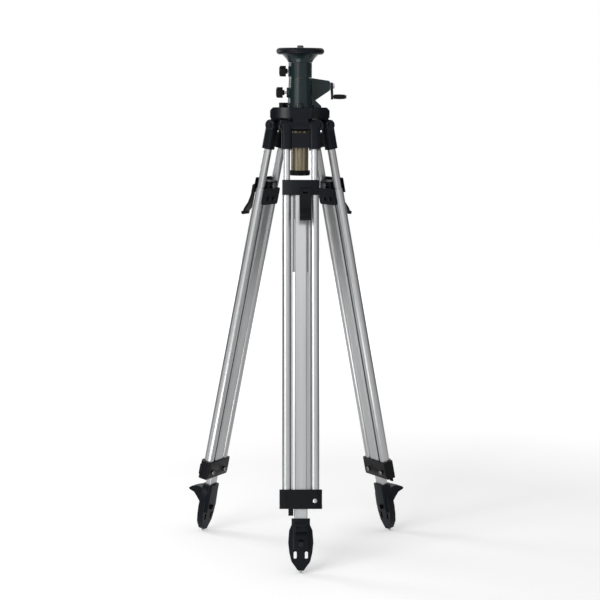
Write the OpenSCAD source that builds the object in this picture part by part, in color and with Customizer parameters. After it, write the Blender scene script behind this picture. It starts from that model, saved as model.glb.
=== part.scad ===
// Elevating tripod for a levelling instrument or a rotating laser.
// Millimetres, +Z up. The origin is the middle of the seat on the top plate, so everything
// below the seat has a negative height. The front leg points to -Y and the crank to +X.

/* [Top plate] */
// Diameter of the round plate
plate_d = 110; // [100:1:130]
// Thickness of the plate's rim
plate_t = 15; // [8:0.5:18]
// Diameter of the flare under the plate
flare_d = 84; // [74:1:96]
// Height of the flare
flare_h = 18; // [15:0.5:30]
// Diameter of the instrument stud
stud_d = 15.875; // [12:0.125:18]
// Length of the stud above the seat
stud_out = 5; // [4:0.5:20]

/* [Column] */
// Outer diameter of the mast, the upper stage
mast_d = 33.5; // [31:0.5:33.5]
// Outer diameter of the column tube, the lower stage
column_d = 40; // [40:0.5:42]
// Length of the column tube
column_len = 238; // [225:1:260]
// Diameter of the clamp collar on the column
collar_d = 54; // [50:1:56]
// Height of the clamp collar
collar_h = 34; // [30:1:44]
// Diameter of the black end cap
cap_d = 48; // [45:1:50]
// Thickness of the end cap
cap_t = 12; // [8:1:18]

/* [Column housing] */
// Diameter of the housing at its top
housing_top_d = 52; // [52:1:56]
// Diameter of the housing at its base
housing_base_d = 58; // [56:1:62]
// Height of the housing
housing_h = 67.5; // [64:0.5:80]
// Depth of the crank shaft below the housing's top
shaft_drop = 18; // [17:0.5:22]
// Distance from the column's axis to the end of the crank bracket
bracket_reach = 70; // [60:1:80]

/* [Crank] */
// Diameter of the crank shaft
shaft_d = 8; // [6:0.5:9]
// Radius of the crank
crank_r = 40; // [32:1:42]
// Turn of the crank from hanging straight down, toward the front
crank_turn = 52; // [0:1:90]
// Diameter of the grip
grip_d = 12; // [10:0.5:16]
// Length of the grip
grip_len = 26; // [24:1:45]
// Number of teeth on the pinion
pinion_teeth = 14; // [14:2:16]
// Width of the pinion
pinion_w = 7; // [5:0.5:8]

/* [Knobs] */
// Diameter of both clamp knobs
knob_d = 25; // [20:1:26]
// Length of both clamp knobs
knob_len = 19; // [12:1:20]
// Distance from the collar's side to the upper knob's end
upper_knob_stand = 21; // [21:1:33]
// Distance from the side of the housing's foot to the lower knob's end
lower_knob_stand = 26; // [23:1:37]
// Depth of the lower knob below the housing's top
lower_knob_drop = 33.5; // [30:0.5:40]

/* [Head] */
// Height of the head casting's body
head_h = 24; // [20:1:24]
// Distance from the axis to the face above each leg
lug_r = 65; // [60:1:72]
// Width of the face above each leg
lug_w = 50; // [44:1:60]
// Distance from the axis to each hinge bolt
hinge_r = 54.5; // [52:0.5:58]
// Depth of the hinge bolts below the head's top
hinge_drop = 40; // [39:0.5:46]
// Width of the tongue between the yoke's cheeks
tongue_w = 34; // [28:1:34]
// Diameter of the hinge bolts
hinge_d = 10; // [8:0.5:12]

/* [Upper leg section] */
// Lean of each leg from upright
leg_angle = 12; // [8:0.5:16]
// Width of a rail
rail_w = 15; // [14:0.5:15.5]
// Depth of a rail
rail_t = 18; // [17:0.5:18.5]
// Wall of a rail
rail_wall = 1.6; // [1:0.1:2.5]
// Distance between the two rails of a leg
rail_pitch = 63; // [62:0.5:64]
// Width of a yoke socket
socket_w = 25; // [22:0.5:26]
// Depth of a yoke socket
socket_t = 26; // [25.5:0.5:30]
// Lower end of the yoke, along the leg from the hinge
socket_end = 56; // [48:1:60]
// Lower end of the rails, along the leg from the hinge
rail_end = 770; // [700:5:775]

/* [Middle leg section] */
// Upper end of the channel, along the leg from the hinge
channel_start = 150; // [146:1:160]
// Lower end of the channel, along the leg from the hinge
channel_end = 845; // [840:1:900]
// Width of the channel's side tubes
side_w = 20; // [19:0.5:21]
// Depth of the channel's side tubes
side_t = 21.5; // [21:0.5:23]
// Width of the channel's middle box
box_w = 36; // [35.5:0.5:38]
// Depth of the channel's middle box
box_t = 20; // [19.4:0.2:21]
// Lower end of the two relief slots, along the leg from the hinge
slot_end = 336; // [250:1:400]
// Overlap of the upper clamp's outer plate past the channel's side
clamp_lip = 0.5; // [0:0.5:4]
// Height of the upper clamp's outer plate
clamp_h = 34; // [32:1:40]
// Width of the upper lever
lever_w = 26; // [24:1:32]
// Sideways offset of the upper lever
lever_shift = 10; // [4:1:16]
// Wall of the lower collar at the channel's sides
low_side = 6; // [5.5:0.5:8]
// Depth of the lower collar
low_collar_t = 26; // [25:0.5:30]
// Height of the lower collar
low_collar_h = 43; // [40:1:50]

/* [Lower leg section] */
// Width of the inner tube
tube_w = 30; // [28:0.5:30.5]
// Depth of the inner tube
tube_t = 15; // [13:0.5:15]
// Upper end of the inner tube, along the leg from the hinge
tube_start = 215; // [180:5:300]
// Height of the inner tube that shows between collar and foot
tube_bare = 21; // [18:1:40]
// Length of the foot from its top to the spike's point
foot_len = 121; // [118:1:130]
// Widest part of the foot
foot_w = 56; // [52:1:64]
// Reach of the step spur from the leg's middle
spur_reach = 51; // [46:1:70]

/* [Hidden] */
$fn = 96;
SIDES = ["front", "left", "right"];
AZIMUTHS = [-90, 150, 30];

// Clearances: loose for pieces of different bodies, seam for faces that part when raised
slide_gap = 0.25;
loose_gap = 0.3;
seam_gap = 0.5;
eps = 0.01;

// Heights down the column
flare_end_d = collar_d + 2;
flare_z = -plate_t - flare_h;
collar_top = flare_z - seam_gap;
collar_z = collar_top - collar_h;
housing_top = collar_z - seam_gap;
head_top = housing_top - housing_h;
head_z = head_top - head_h;
hinge_z = head_top - hinge_drop;

// Stud, mast and plate
rim_chamfer = plate_t * (1 - sqrt(1 / 2));
stud_chamfer = 1;
stud_root = 3;
stud_root_d = stud_d - 4;
stud_flange_d = stud_d + 3;
stud_flange_t = 3;
mast_wall = 2.8;
mast_top = -plate_t - stud_root;
mast_clear_end = 10;

// Column tube, collar and cap
column_bore = mast_d + 2 * slide_gap;
collar_step = 8;
column_top = collar_top - collar_step;
column_end = column_top - column_len;
mast_len = mast_top - column_end - mast_clear_end;
cap_spigot = 8;
knob_screw_d = 6;
upper_knob_z = collar_z + collar_h * 0.43;

// Rack and pinion, 20 degree teeth
gear_module = 1.25;
pressure = 20;
tooth_play = 0.16;
gear_pitch = PI * gear_module;
pinion_r = gear_module * pinion_teeth / 2;
pinion_tip = pinion_r + gear_module;
pinion_root = pinion_r - 1.25 * gear_module;
pinion_base = pinion_r * cos(pressure);
flank_steps = 6;
rack_add = 0.78 * gear_module;
rack_ded = 1.25 * gear_module;
rack_w = 9;
rack_flat = column_d / 2 - 1;
rack_back = 2.4;
rack_root = rack_flat + rack_back;
rack_line = rack_root + rack_ded;
rack_tip = rack_line + rack_add;
shaft_y = rack_line + pinion_r;
shaft_z = housing_top - shaft_drop;
boss_drop = 10;
column_lift = head_z - boss_drop - column_end - 2;
rack_above = 3;
rack_below = ceil(column_lift / gear_pitch) + 4;
rack_low = shaft_z - rack_below * gear_pitch;
rack_high = shaft_z + rack_above * gear_pitch;

// Housing, bushes and bracket
bush_wall = 2.75;
bore_d = column_d + 2 * (slide_gap + bush_wall);
key_w = rack_w + 2;
key_y = rack_tip + 1.2;
gear_room = pinion_tip + 1;
gear_wall = 3;
gear_boss_w = 30;
bracket_t = 20;
bracket_rise = 12;
bracket_fall = 12;
bracket_edge = 3;
bracket_foot = 11.5;
web_deep = 4.5;
web_rim = 5;
web_end = 18;
shaft_bush_d = shaft_d + 4;
shaft_bush_len = 9;
upper_bush_len = 26;
lower_bush_len = 27;
base_t = 6;
base_lip = 3;
ear_r = 8;
ear_out = 7;
ear_at = housing_base_d / 2 + ear_out;
base_screw_d = 6;
base_screw_depth = 14;
neck_h = 23;
neck_edge = 4;
neck_t = 14;
knob_boss_d = 23;
upper_boss_rise = 0.5;
lower_boss_rise = 2;
upper_boss_out = collar_d / 2 + upper_boss_rise;
lower_boss_out = housing_base_d / 2 + lower_boss_rise;
upper_knob_out = collar_d / 2 + upper_knob_stand;
lower_knob_out = housing_base_d / 2 + lower_knob_stand;
lower_knob_z = housing_top - lower_knob_drop;

// Crank
arm_t = 5.5;
arm_x = bracket_reach + 1;
arm_hub_d = 16;
arm_end_d = 13;
arm_waist_d = 9;
grip_pin_d = 6;
grip_gap = 1;
grip_head_d = 9;
grip_head_t = 2;
grip_x = arm_x + arm_t + grip_gap;

// Knob details
flute_count = 8;
flute_d = 5;
knob_neck_d = 12;
knob_neck = 4;
knob_round = 4;

// Head details
corner_r = sqrt(lug_r * lug_r + lug_w * lug_w / 4);
lug_out = 15;
lug_in = lug_r - lug_out;
lug_points = [[lug_in, -lug_w / 2], [lug_r, -lug_w / 2], [lug_r, lug_w / 2], [lug_in, lug_w / 2]];
facet_r = lug_in * cos(60) + lug_w / 2 * sin(60);
neck_inset = 1;
neck_reach = (facet_r - neck_inset) / cos(30) - neck_t / 2 * tan(30);
head_chamfer = 7;
tongue_r = 13;
boss_r = bore_d / 2 + 6;
pocket_d = 14;
pocket_wall = 3.5;
pocket_at = facet_r - pocket_wall - pocket_d / 2;
pocket_depth = 14;
level_azimuth = 180;
level_d = 15;
level_gap = 1.5;
level_at = housing_base_d / 2 + base_lip + level_gap + level_d / 2;
level_h = 11;
vial_d = 11;
vial_h = 6;

// Leg details, measured along the leg from the hinge
cheek_in = tongue_w / 2 + loose_gap;
cheek_out = rail_pitch / 2 + socket_w / 2;
ear_round = 12.5;
socket_round = 8;
web_start = 19;
web_t = 12;
rail_start = 17;
hinge_head_d = 18;
hinge_head_t = 6;
rail_round = 6;
side_round = 8.5;
box_wall = 2;
tube_play = 0.3;
joint_web = 6;
slot_in = 13;
slot_deep = 5;
groove_u = 12.3;
groove_half = 0.8;
groove_deep = 0.8;
strip_fall = 1.8;

// Upper clamp: outer plate, middle block between the rails, inner plate
channel_w = rail_pitch + side_w;
clamp_w = channel_w + 2 * clamp_lip;
clamp_rise = 23;
clamp_start = channel_start - clamp_rise;
clamp_face = side_t / 2;
clamp_plate_t = 3.5;
plate_edge = 1.3;
plate_bevel = 5;
plate_out = clamp_face + clamp_plate_t;
inner_plate_t = 5;
inner_rise = 2.5;
inner_drop = 37;
inner_inset = 8;
inner_round = 5;
inner_out = clamp_face + inner_plate_t;
inner_start = channel_start - inner_rise;
inner_end = channel_start + inner_drop;
inner_w = clamp_w - 2 * inner_inset;
block_play = 2.5;
block_lip = 1.5;
block_top = 5;
block_w = rail_pitch - rail_w - 2 * block_play;
block_in = clamp_face + block_lip;
lever_pin_d = 6;
lever_pin_drop = 2;
lever_pin_rise = 7.3;
lever_pin_at = channel_start + lever_pin_drop;
lever_pin_out = plate_out + lever_pin_rise;
lever_round = 6.5;
lug_half = 5;
lug_round = lever_round - 0.5;
lever_len = 71;
outer_bends = [0.29, 0.545] * lever_len;
inner_bends = [0.315, 0.58] * lever_len;
lever_rise = 29.7;
tip_roll_d = 8.5;
lever_tip = lever_pin_at + lever_len;
lever_out = plate_out + lever_rise;
clamp_bolt_d = 8;
clamp_bolt_rise = 8.5;
clamp_bolt_at = channel_start - clamp_bolt_rise;
clamp_bolt_head = 5;
rivet_d = 6;
rivet_head_d = 10;
rivet_head_t = 2.5;
rivet_u = 12;
rivet_drop = 24;
rivet_at = channel_start + rivet_drop;

// Lower collar and its flip lever
low_collar_w = channel_w + 2 * low_side;
low_overlap = 22;
low_start = channel_end - low_overlap;
low_end = low_start + low_collar_h;
low_round = 4;
low_chamfer = 3.5;
low_chamfer_h = 10;
low_lever_t = 3.7;
low_pin_d = 4;
low_pin_u = low_collar_w / 2 - 4.1;
low_pin_out = low_collar_t / 2 - 3.8;
low_knuckle_r = 3.7;
low_knuckle_h = 9;
low_swing = 4.2;
low_lever_in = 16.5 - low_collar_w / 2;
tab_w = 11;
tab_u = -28;
tab_len = 15;
low_rivet_u = 27;
low_rivet_at = channel_end + 4.5;

// Lower section and foot
tube_wall = 1.6;
tube_round = 3;
foot_start = low_end + tube_bare;
foot_end = foot_start + foot_len;
foot_top_w = 41;
foot_top_t = 26;
foot_socket = 69;
tube_in_foot = 64;
tube_end = foot_start + tube_in_foot;
foot_bolt_d = 8;
foot_bolt_up = 7;
foot_bolt_at = tube_end - foot_bolt_up;
spade_t = 16;
spade_start = foot_start + 14;
spade_end = foot_end - 6;
spade_tip_w = 13;
spade_shoulder = 13;
spade_widest = 40;
spade_knee = 62;
spade_taper = 81;
window_w = 7;
window_h = 16;
window_gap = 9;
window_start = tube_end + window_gap;
window_u = 9;
window_round = 3;
spike_d = 9;
spike_cone = 10;
spike_tip_r = 2;
spur_w = 27;
spur_drop = 15;

// Node names: the middle of the tripod first, then the same twelve pieces for each leg
LEG_PARTS = ["yoke", "rails", "channel", "upper_clamp", "lower_collar", "clamp_screws",
             "upper_lever", "lower_lever", "inner_tube", "foot", "spike", "foot_bolt"];

// Shared shapes

// Rounded rectangle, x by y
module rounded(w, d, r) {
    square([w - 2 * r, d], center = true);
    square([w, d - 2 * r], center = true);
    for (x = [-1, 1], y = [-1, 1])
        translate([x * (w / 2 - r), y * (d / 2 - r)])
            circle(r);
}

// Turns a flat drawing so that its first axis is Y and its second is Z, thick along X
module facing_x(t) {
    rotate([90, 0, 90])
        linear_extrude(t, center = true)
            children();
}

// Turns a flat drawing so that its first axis is X and its second is Z, thick along Y
module facing_y(t) {
    rotate([90, 0, 0])
        linear_extrude(t, center = true)
            children();
}

// Round bar along X from a to b
module bar_x(d, a, b) {
    translate([a, 0, 0])
        rotate([0, 90, 0])
            cylinder(d = d, h = b - a);
}

// Round bar along Y from a to b
module bar_y(d, a, b) {
    translate([0, b, 0])
        rotate([90, 0, 0])
            cylinder(d = d, h = b - a);
}

// Stands a leg's drawing frame on its hinge: X outward, Y sideways, Z up along the leg
module leg_frame(k) {
    rotate([0, 0, AZIMUTHS[k]])
        translate([hinge_r, 0, hinge_z])
            rotate([0, -leg_angle, 0])
                children();
}

// Extrudes a flat drawing along the leg between two distances from the hinge
module along_leg(from, to) {
    translate([0, 0, -to])
        linear_extrude(to - from)
            children();
}

// Head and column housing

module head() {
    color("#26282b")
        difference() {
            union() {
                intersection() {
                    translate([0, 0, head_z])
                        linear_extrude(head_h)
                            polygon([for (i = [0, 2, 1], p = lug_points)
                                [p[0] * cos(AZIMUTHS[i]) - p[1] * sin(AZIMUTHS[i]),
                                 p[0] * sin(AZIMUTHS[i]) + p[1] * cos(AZIMUTHS[i])]]);
                    translate([0, 0, head_z])
                        cylinder(r1 = corner_r + head_h - head_chamfer, r2 = corner_r - head_chamfer,
                                 h = head_h);
                }
                translate([0, 0, head_z - boss_drop])
                    cylinder(r = boss_r, h = boss_drop + eps);
                for (a = AZIMUTHS)
                    rotate([0, 0, a])
                        facing_y(tongue_w)
                            translate([hinge_r, hinge_z]) {
                                circle(tongue_r);
                                translate([-tongue_r, 0])
                                    square([2 * tongue_r, head_z - hinge_z + eps]);
                            }
            }
            translate([0, 0, head_z - boss_drop - eps])
                cylinder(d = bore_d, h = head_h + boss_drop + 2 * eps);
            translate([-key_w / 2, 0, head_z - boss_drop - eps])
                cube([key_w, key_y, head_h + boss_drop + 2 * eps]);
            for (a = AZIMUTHS)
                rotate([0, 0, a]) {
                    translate([hinge_r, 0, hinge_z])
                        bar_y(hinge_d, -tongue_w, tongue_w);
                    translate([ear_at, 0, head_top - base_screw_depth])
                        cylinder(d = base_screw_d, h = base_screw_depth + eps);
                    rotate([0, 0, 60])
                        translate([pocket_at, 0, head_z - eps])
                            cylinder(d = pocket_d, h = pocket_depth);
                }
        }
}

module hinge_bolts() {
    color("#b9bcc0")
        for (a = AZIMUTHS)
            rotate([0, 0, a])
                translate([hinge_r, 0, hinge_z]) {
                    bar_y(hinge_d, -cheek_out - hinge_head_t, cheek_out + hinge_head_t + 2);
                    for (y = [-cheek_out - hinge_head_t - loose_gap, cheek_out + loose_gap])
                        translate([0, y + hinge_head_t, 0])
                            rotate([90, 0, 0])
                                cylinder(d = hinge_head_d, h = hinge_head_t, $fn = 6);
                }
}

module housing() {
    color("#59625f")
        difference() {
            union() {
                translate([0, 0, head_top])
                    cylinder(d1 = housing_base_d, d2 = housing_top_d, h = housing_h);
                translate([0, 0, head_top])
                    linear_extrude(base_t) {
                        circle(d = housing_base_d + 2 * base_lip);
                        for (a = AZIMUTHS)
                            rotate([0, 0, a]) {
                                translate([ear_at, 0])
                                    circle(ear_r);
                                translate([0, -ear_r])
                                    square([ear_at, 2 * ear_r]);
                            }
                    }
                // Channel for the rack, and the gear case behind the column
                translate([-key_w / 2 - gear_wall, 0, head_top])
                    cube([key_w + 2 * gear_wall, key_y + gear_wall, housing_h]);
                translate([0, shaft_y, shaft_z])
                    bar_x(2 * (gear_room + gear_wall), -gear_boss_w / 2, gear_boss_w / 2);
                // Bracket that carries the crank's outer bearing
                translate([0, shaft_y - gear_wall, 0])
                    facing_y(bracket_t)
                        polygon([[0, housing_top],
                                 [housing_top_d / 2, housing_top],
                                 [bracket_reach - bracket_edge, shaft_z + bracket_rise],
                                 [bracket_reach, shaft_z + bracket_rise - bracket_edge],
                                 [bracket_reach, shaft_z - bracket_fall + bracket_edge],
                                 [bracket_reach - bracket_edge, shaft_z - bracket_fall],
                                 [housing_base_d / 2, head_top + bracket_foot],
                                 [0, head_top + bracket_foot - 2]]);
                // Foot of the bracket on the head
                facing_y(neck_t)
                    polygon([[0, head_top], [neck_reach, head_top], [neck_reach, head_top + neck_edge],
                             [housing_base_d / 2 - 1, head_top + neck_h], [0, head_top + neck_h]]);
                translate([0, 0, lower_knob_z])
                    bar_x(knob_boss_d, -lower_boss_out, 0);
            }
            translate([0, 0, head_top - eps])
                cylinder(d = bore_d, h = housing_h + 2 * eps);
            translate([-key_w / 2, 0, head_top - eps])
                cube([key_w, key_y, housing_h + 2 * eps]);
            translate([0, shaft_y, shaft_z]) {
                bar_x(2 * gear_room, -key_w / 2, key_w / 2);
                bar_x(shaft_bush_d, -gear_boss_w, bracket_reach + eps);
            }
            // Hollow in the bracket's front face
            translate([0, shaft_y - gear_wall - bracket_t / 2, 0])
                facing_y(2 * web_deep)
                    polygon([[housing_top_d / 2 + web_rim, shaft_z + bracket_rise - 1],
                             [bracket_reach - web_end, shaft_z + bracket_rise - web_rim],
                             [bracket_reach - web_end, shaft_z - web_rim],
                             [housing_base_d / 2 + web_rim, head_top + bracket_foot + 2 * web_rim]]);
            translate([0, 0, lower_knob_z])
                bar_x(knob_screw_d + 2 * loose_gap, -lower_boss_out - eps, 0);
            for (a = AZIMUTHS)
                rotate([0, 0, a])
                    translate([ear_at, 0, head_top - eps])
                        cylinder(d = base_screw_d, h = base_t + 2 * eps);
        }
}

module housing_screws() {
    color("#b9bcc0")
        for (a = AZIMUTHS)
            rotate([0, 0, a])
                translate([ear_at, 0, head_top]) {
                    translate([0, 0, -base_screw_depth + 1])
                        cylinder(d = base_screw_d, h = base_screw_depth + base_t);
                    difference() {
                        translate([0, 0, base_t])
                            cylinder(d = 1.6 * base_screw_d, h = 0.8 * base_screw_d);
                        translate([0, 0, base_t + 0.4 * base_screw_d])
                            cylinder(d = 0.9 * base_screw_d, h = base_screw_d, $fn = 6);
                    }
                }
}

// Plain bushes that the column slides in, notched for the rack
module column_bushes() {
    color("#d9d4c4")
        for (z = [housing_top - upper_bush_len, head_z - boss_drop])
            difference() {
                translate([0, 0, z])
                    cylinder(d = bore_d, h = z < head_z ? lower_bush_len : upper_bush_len);
                translate([0, 0, z - eps])
                    cylinder(d = column_d + 2 * slide_gap, h = upper_bush_len + lower_bush_len);
                translate([-key_w / 2, 0, z - eps])
                    cube([key_w, key_y, upper_bush_len + lower_bush_len]);
            }
}

module shaft_bushes() {
    color("#b08d4c")
        translate([0, shaft_y, shaft_z])
            for (x = [-gear_boss_w / 2, bracket_reach - shaft_bush_len])
                difference() {
                    bar_x(shaft_bush_d, x, x + shaft_bush_len);
                    bar_x(shaft_d + 2 * slide_gap, x - eps, x + shaft_bush_len + eps);
                }
}

module level_cup() {
    color("#1d1f21")
        rotate([0, 0, level_azimuth])
            translate([level_at, 0, head_top])
                difference() {
                    cylinder(d = level_d, h = level_h);
                    translate([0, 0, level_h - vial_h])
                        cylinder(d = vial_d, h = vial_h + eps);
                }
}

module level_vial() {
    color("#cfe86b")
        rotate([0, 0, level_azimuth])
            translate([level_at, 0, head_top + level_h - vial_h])
                cylinder(d = vial_d, h = vial_h - 0.5);
}

// Column and mast

module column_tube() {
    color("#8d7a5b")
        difference() {
            translate([0, 0, column_end])
                cylinder(d = column_d, h = column_len);
            translate([0, 0, column_end - eps])
                cylinder(d = column_bore, h = column_len + 2 * eps);
            translate([-rack_w / 2, rack_flat, rack_low])
                cube([rack_w, column_d, rack_high - rack_low]);
            translate([0, 0, upper_knob_z])
                bar_x(knob_screw_d + 2 * loose_gap, -column_d, 0);
        }
}

function rack_tooth(z) = let (
    half = gear_pitch / 4 - tooth_play / 2,
    at_tip = half - rack_add * tan(pressure),
    at_root = half + rack_ded * tan(pressure))
    [[rack_root, z - at_root], [rack_tip, z - at_tip], [rack_tip, z + at_tip], [rack_root, z + at_root]];

module rack() {
    color("#9a9da1")
        facing_x(rack_w)
            polygon(concat([[rack_flat, rack_low], [rack_root, rack_low]],
                [for (i = [-rack_below : rack_above - 1])
                    each rack_tooth(shaft_z + (i + 0.5) * gear_pitch)],
                [[rack_root, rack_high], [rack_flat, rack_high]]));
}

module column_collar() {
    color("#59625f")
        difference() {
            union() {
                translate([0, 0, collar_z])
                    cylinder(d = collar_d, h = collar_h);
                translate([0, 0, upper_knob_z])
                    bar_x(knob_boss_d, -upper_boss_out, 0);
            }
            translate([0, 0, collar_z - eps])
                cylinder(d = column_d, h = column_top - collar_z + eps);
            translate([0, 0, collar_z])
                cylinder(d = column_bore, h = collar_h + eps);
            translate([0, 0, upper_knob_z])
                bar_x(knob_screw_d + 2 * loose_gap, -collar_d, 0);
        }
}

module column_cap() {
    color("#1d1f21") {
        translate([0, 0, column_end - cap_t])
            cylinder(d1 = cap_d - 4, d2 = cap_d, h = 2);
        translate([0, 0, column_end - cap_t + 2])
            cylinder(d = cap_d, h = cap_t - 2);
        translate([0, 0, column_end - eps])
            cylinder(d = column_bore, h = cap_spigot);
    }
}

module mast_tube() {
    color("#8d7a5b")
        translate([0, 0, mast_top - mast_len])
            difference() {
                cylinder(d = mast_d, h = mast_len);
                translate([0, 0, -eps])
                    cylinder(d = mast_d - 2 * mast_wall, h = mast_len + 2 * eps);
            }
}

module top_plate() {
    color("#59625f")
        difference() {
            union() {
                translate([0, 0, -rim_chamfer])
                    cylinder(d1 = plate_d, d2 = plate_d - 2 * rim_chamfer, h = rim_chamfer);
                translate([0, 0, rim_chamfer - plate_t])
                    cylinder(d = plate_d, h = plate_t - 2 * rim_chamfer);
                translate([0, 0, -plate_t])
                    cylinder(d1 = plate_d - 2 * rim_chamfer, d2 = plate_d, h = rim_chamfer);
                translate([0, 0, flare_z])
                    cylinder(d1 = flare_end_d, d2 = flare_d, h = flare_h);
            }
            translate([0, 0, flare_z - eps])
                cylinder(d = mast_d, h = mast_top - flare_z + eps);
            translate([0, 0, mast_top - eps])
                cylinder(d = stud_root_d, h = plate_t + stud_root + 2 * eps);
            translate([0, 0, -stud_flange_t])
                cylinder(d = stud_flange_d, h = stud_flange_t + eps);
        }
}

module stud() {
    color("#b9bcc0") {
        translate([0, 0, mast_top])
            cylinder(d = stud_root_d, h = -mast_top - stud_flange_t + eps);
        // Flange let into the plate, level with the seat
        translate([0, 0, -stud_flange_t])
            cylinder(d = stud_flange_d, h = stud_flange_t);
        translate([0, 0, -eps])
            cylinder(d = stud_d, h = stud_out + eps);
        translate([0, 0, stud_out])
            cylinder(d1 = stud_d, d2 = stud_d - 2 * stud_chamfer, h = stud_chamfer);
    }
}

// Crank

module crank_shaft() {
    color("#b9bcc0")
        translate([0, shaft_y, shaft_z])
            bar_x(shaft_d, -gear_boss_w / 2 - 1, arm_x + arm_t + 1);
}

function involute(r) = let (a = acos(pinion_base / r)) tan(a) * 180 / PI - a;
function flank_r(j) = pinion_base + (pinion_tip - pinion_base) * j / flank_steps;
function flank_angle(r) = 90 / pinion_teeth - tooth_play / pinion_r * 45 / PI
    + involute(pinion_r) - involute(r);
function polar(r, a) = [r * cos(a), r * sin(a)];

module pinion() {
    color("#9a9da1")
        translate([0, shaft_y, shaft_z])
            difference() {
                facing_x(pinion_w)
                    polygon([for (i = [0 : pinion_teeth - 1]) let (a = i * 360 / pinion_teeth) each concat(
                        [polar(pinion_root, a - flank_angle(pinion_base))],
                        [for (j = [0 : flank_steps]) polar(flank_r(j), a - flank_angle(flank_r(j)))],
                        [for (j = [flank_steps : -1 : 0]) polar(flank_r(j), a + flank_angle(flank_r(j)))],
                        [polar(pinion_root, a + flank_angle(pinion_base))])]);
                bar_x(shaft_d, -pinion_w, pinion_w);
            }
}

module crank_frame() {
    translate([0, shaft_y, shaft_z])
        rotate([-crank_turn, 0, 0])
            children();
}

module crank_arm() {
    color("#2b2d30")
        crank_frame()
            difference() {
                union() {
                    translate([arm_x + arm_t / 2, 0, 0])
                        facing_x(arm_t) {
                            circle(d = arm_hub_d);
                            translate([0, -crank_r])
                                circle(d = arm_end_d);
                            polygon([[-arm_hub_d / 2, 0], [arm_hub_d / 2, 0],
                                     [arm_waist_d / 2, -crank_r], [-arm_waist_d / 2, -crank_r]]);
                        }
                    translate([0, 0, -crank_r]) {
                        bar_x(grip_pin_d, arm_x, grip_x + grip_len + grip_gap);
                        translate([grip_len + grip_gap, 0, 0])
                            bar_x(grip_head_d, grip_x, grip_x + grip_head_t);
                    }
                }
                bar_x(shaft_d, 0, arm_x + 2 * arm_t);
            }
}

module crank_grip() {
    grip_round = 2;
    color("#1d1f21")
        crank_frame()
            translate([grip_x, 0, -crank_r])
                rotate([0, 90, 0])
                    difference() {
                        rotate_extrude() {
                            translate([0, grip_round])
                                square([grip_d / 2, grip_len - 2 * grip_round]);
                            square([grip_d / 2 - grip_round, grip_len]);
                            for (z = [grip_round, grip_len - grip_round])
                                translate([grip_d / 2 - grip_round, z])
                                    circle(grip_round);
                        }
                        translate([0, 0, -eps])
                            cylinder(d = grip_pin_d + 2 * slide_gap, h = grip_len + 2 * eps);
                    }
}

// Clamp knobs: the screw's end stops just short of the tube it presses on

module knob(out, z) {
    color("#1d1f21")
        translate([-out, 0, z])
            rotate([0, 90, 0])
                difference() {
                    union() {
                        rotate_extrude() {
                            square([knob_d / 2 - knob_round, knob_len - knob_neck]);
                            translate([0, knob_round])
                                square([knob_d / 2, knob_len - knob_neck - knob_round]);
                            translate([knob_d / 2 - knob_round, knob_round])
                                circle(knob_round);
                        }
                        cylinder(d = knob_neck_d, h = knob_len);
                    }
                    for (i = [0 : flute_count - 1])
                        rotate([0, 0, i * 360 / flute_count])
                            translate([knob_d / 2 + flute_d / 4, 0, -eps])
                                cylinder(d = flute_d, h = knob_len);
                    translate([0, 0, knob_round])
                        cylinder(d = knob_screw_d, h = knob_len);
                }
}

module knob_screw(out, z, tip) {
    color("#b9bcc0")
        translate([0, 0, z])
            bar_x(knob_screw_d, -out + knob_round, -tip - loose_gap);
}

// Upper leg section

module yoke() {
    color("#26282b")
        difference() {
            union() {
                for (side = [-1, 1]) {
                    translate([0, side * rail_pitch / 2, 0])
                        along_leg(0, socket_end)
                            rounded(socket_t, socket_w, socket_round);
                    translate([0, side > 0 ? cheek_in : -cheek_out, 0])
                        bar_y(2 * ear_round, 0, cheek_out - cheek_in);
                }
                translate([-web_t / 4, -rail_pitch / 2, -socket_end + 4])
                    cube([web_t, rail_pitch, socket_end - web_start - 4]);
            }
            bar_y(hinge_d + 2 * slide_gap, -2 * cheek_out, 2 * cheek_out);
            for (side = [-1, 1]) {
                translate([0, side * rail_pitch / 2, 0])
                    along_leg(rail_start, socket_end + eps)
                        rounded(rail_t, rail_w, rail_round);
                // Flat inner faces, clear of the tongue
                translate([-ear_round, side > 0 ? 0 : -cheek_in, -ear_round - 2])
                    cube([2 * ear_round, cheek_in, 3 * ear_round]);
            }
        }
}

module rails() {
    color("#b4b8ba")
        for (side = [-1, 1])
            translate([0, side * rail_pitch / 2, 0])
                difference() {
                    along_leg(rail_start, rail_end)
                        rounded(rail_t, rail_w, rail_round);
                    along_leg(rail_start - eps, rail_end + eps)
                        rounded(rail_t - 2 * rail_wall, rail_w - 2 * rail_wall, rail_round - rail_wall);
                }
}

// Middle leg section

// Quarter of the middle box's outline: a groove near its edge, then a strip that slopes away
box_edge = [[box_t / 2, groove_u - groove_half], [box_t / 2 - groove_deep, groove_u],
            [box_t / 2, groove_u + groove_half], [box_t / 2 - strip_fall, box_w / 2]];
function turned_box_edge(x, y) = [for (i = [0 : 3])
    let (p = box_edge[x * y > 0 ? i : 3 - i]) [x * p[0], y * p[1]]];

module channel_outline() {
    polygon([for (q = [[1, 1], [-1, 1], [-1, -1], [1, -1]]) each turned_box_edge(q[0], q[1])]);
    square([joint_web, rail_pitch - rail_w], center = true);
    for (side = [-1, 1])
        translate([0, side * rail_pitch / 2])
            rounded(side_t, side_w, side_round);
}

module channel_hollows() {
    square([tube_t + 2 * tube_play, tube_w + 2 * tube_play], center = true);
    for (side = [-1, 1])
        translate([0, side * rail_pitch / 2])
            rounded(rail_t + 2 * slide_gap, rail_w + 2 * slide_gap, rail_round + slide_gap);
}

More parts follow.
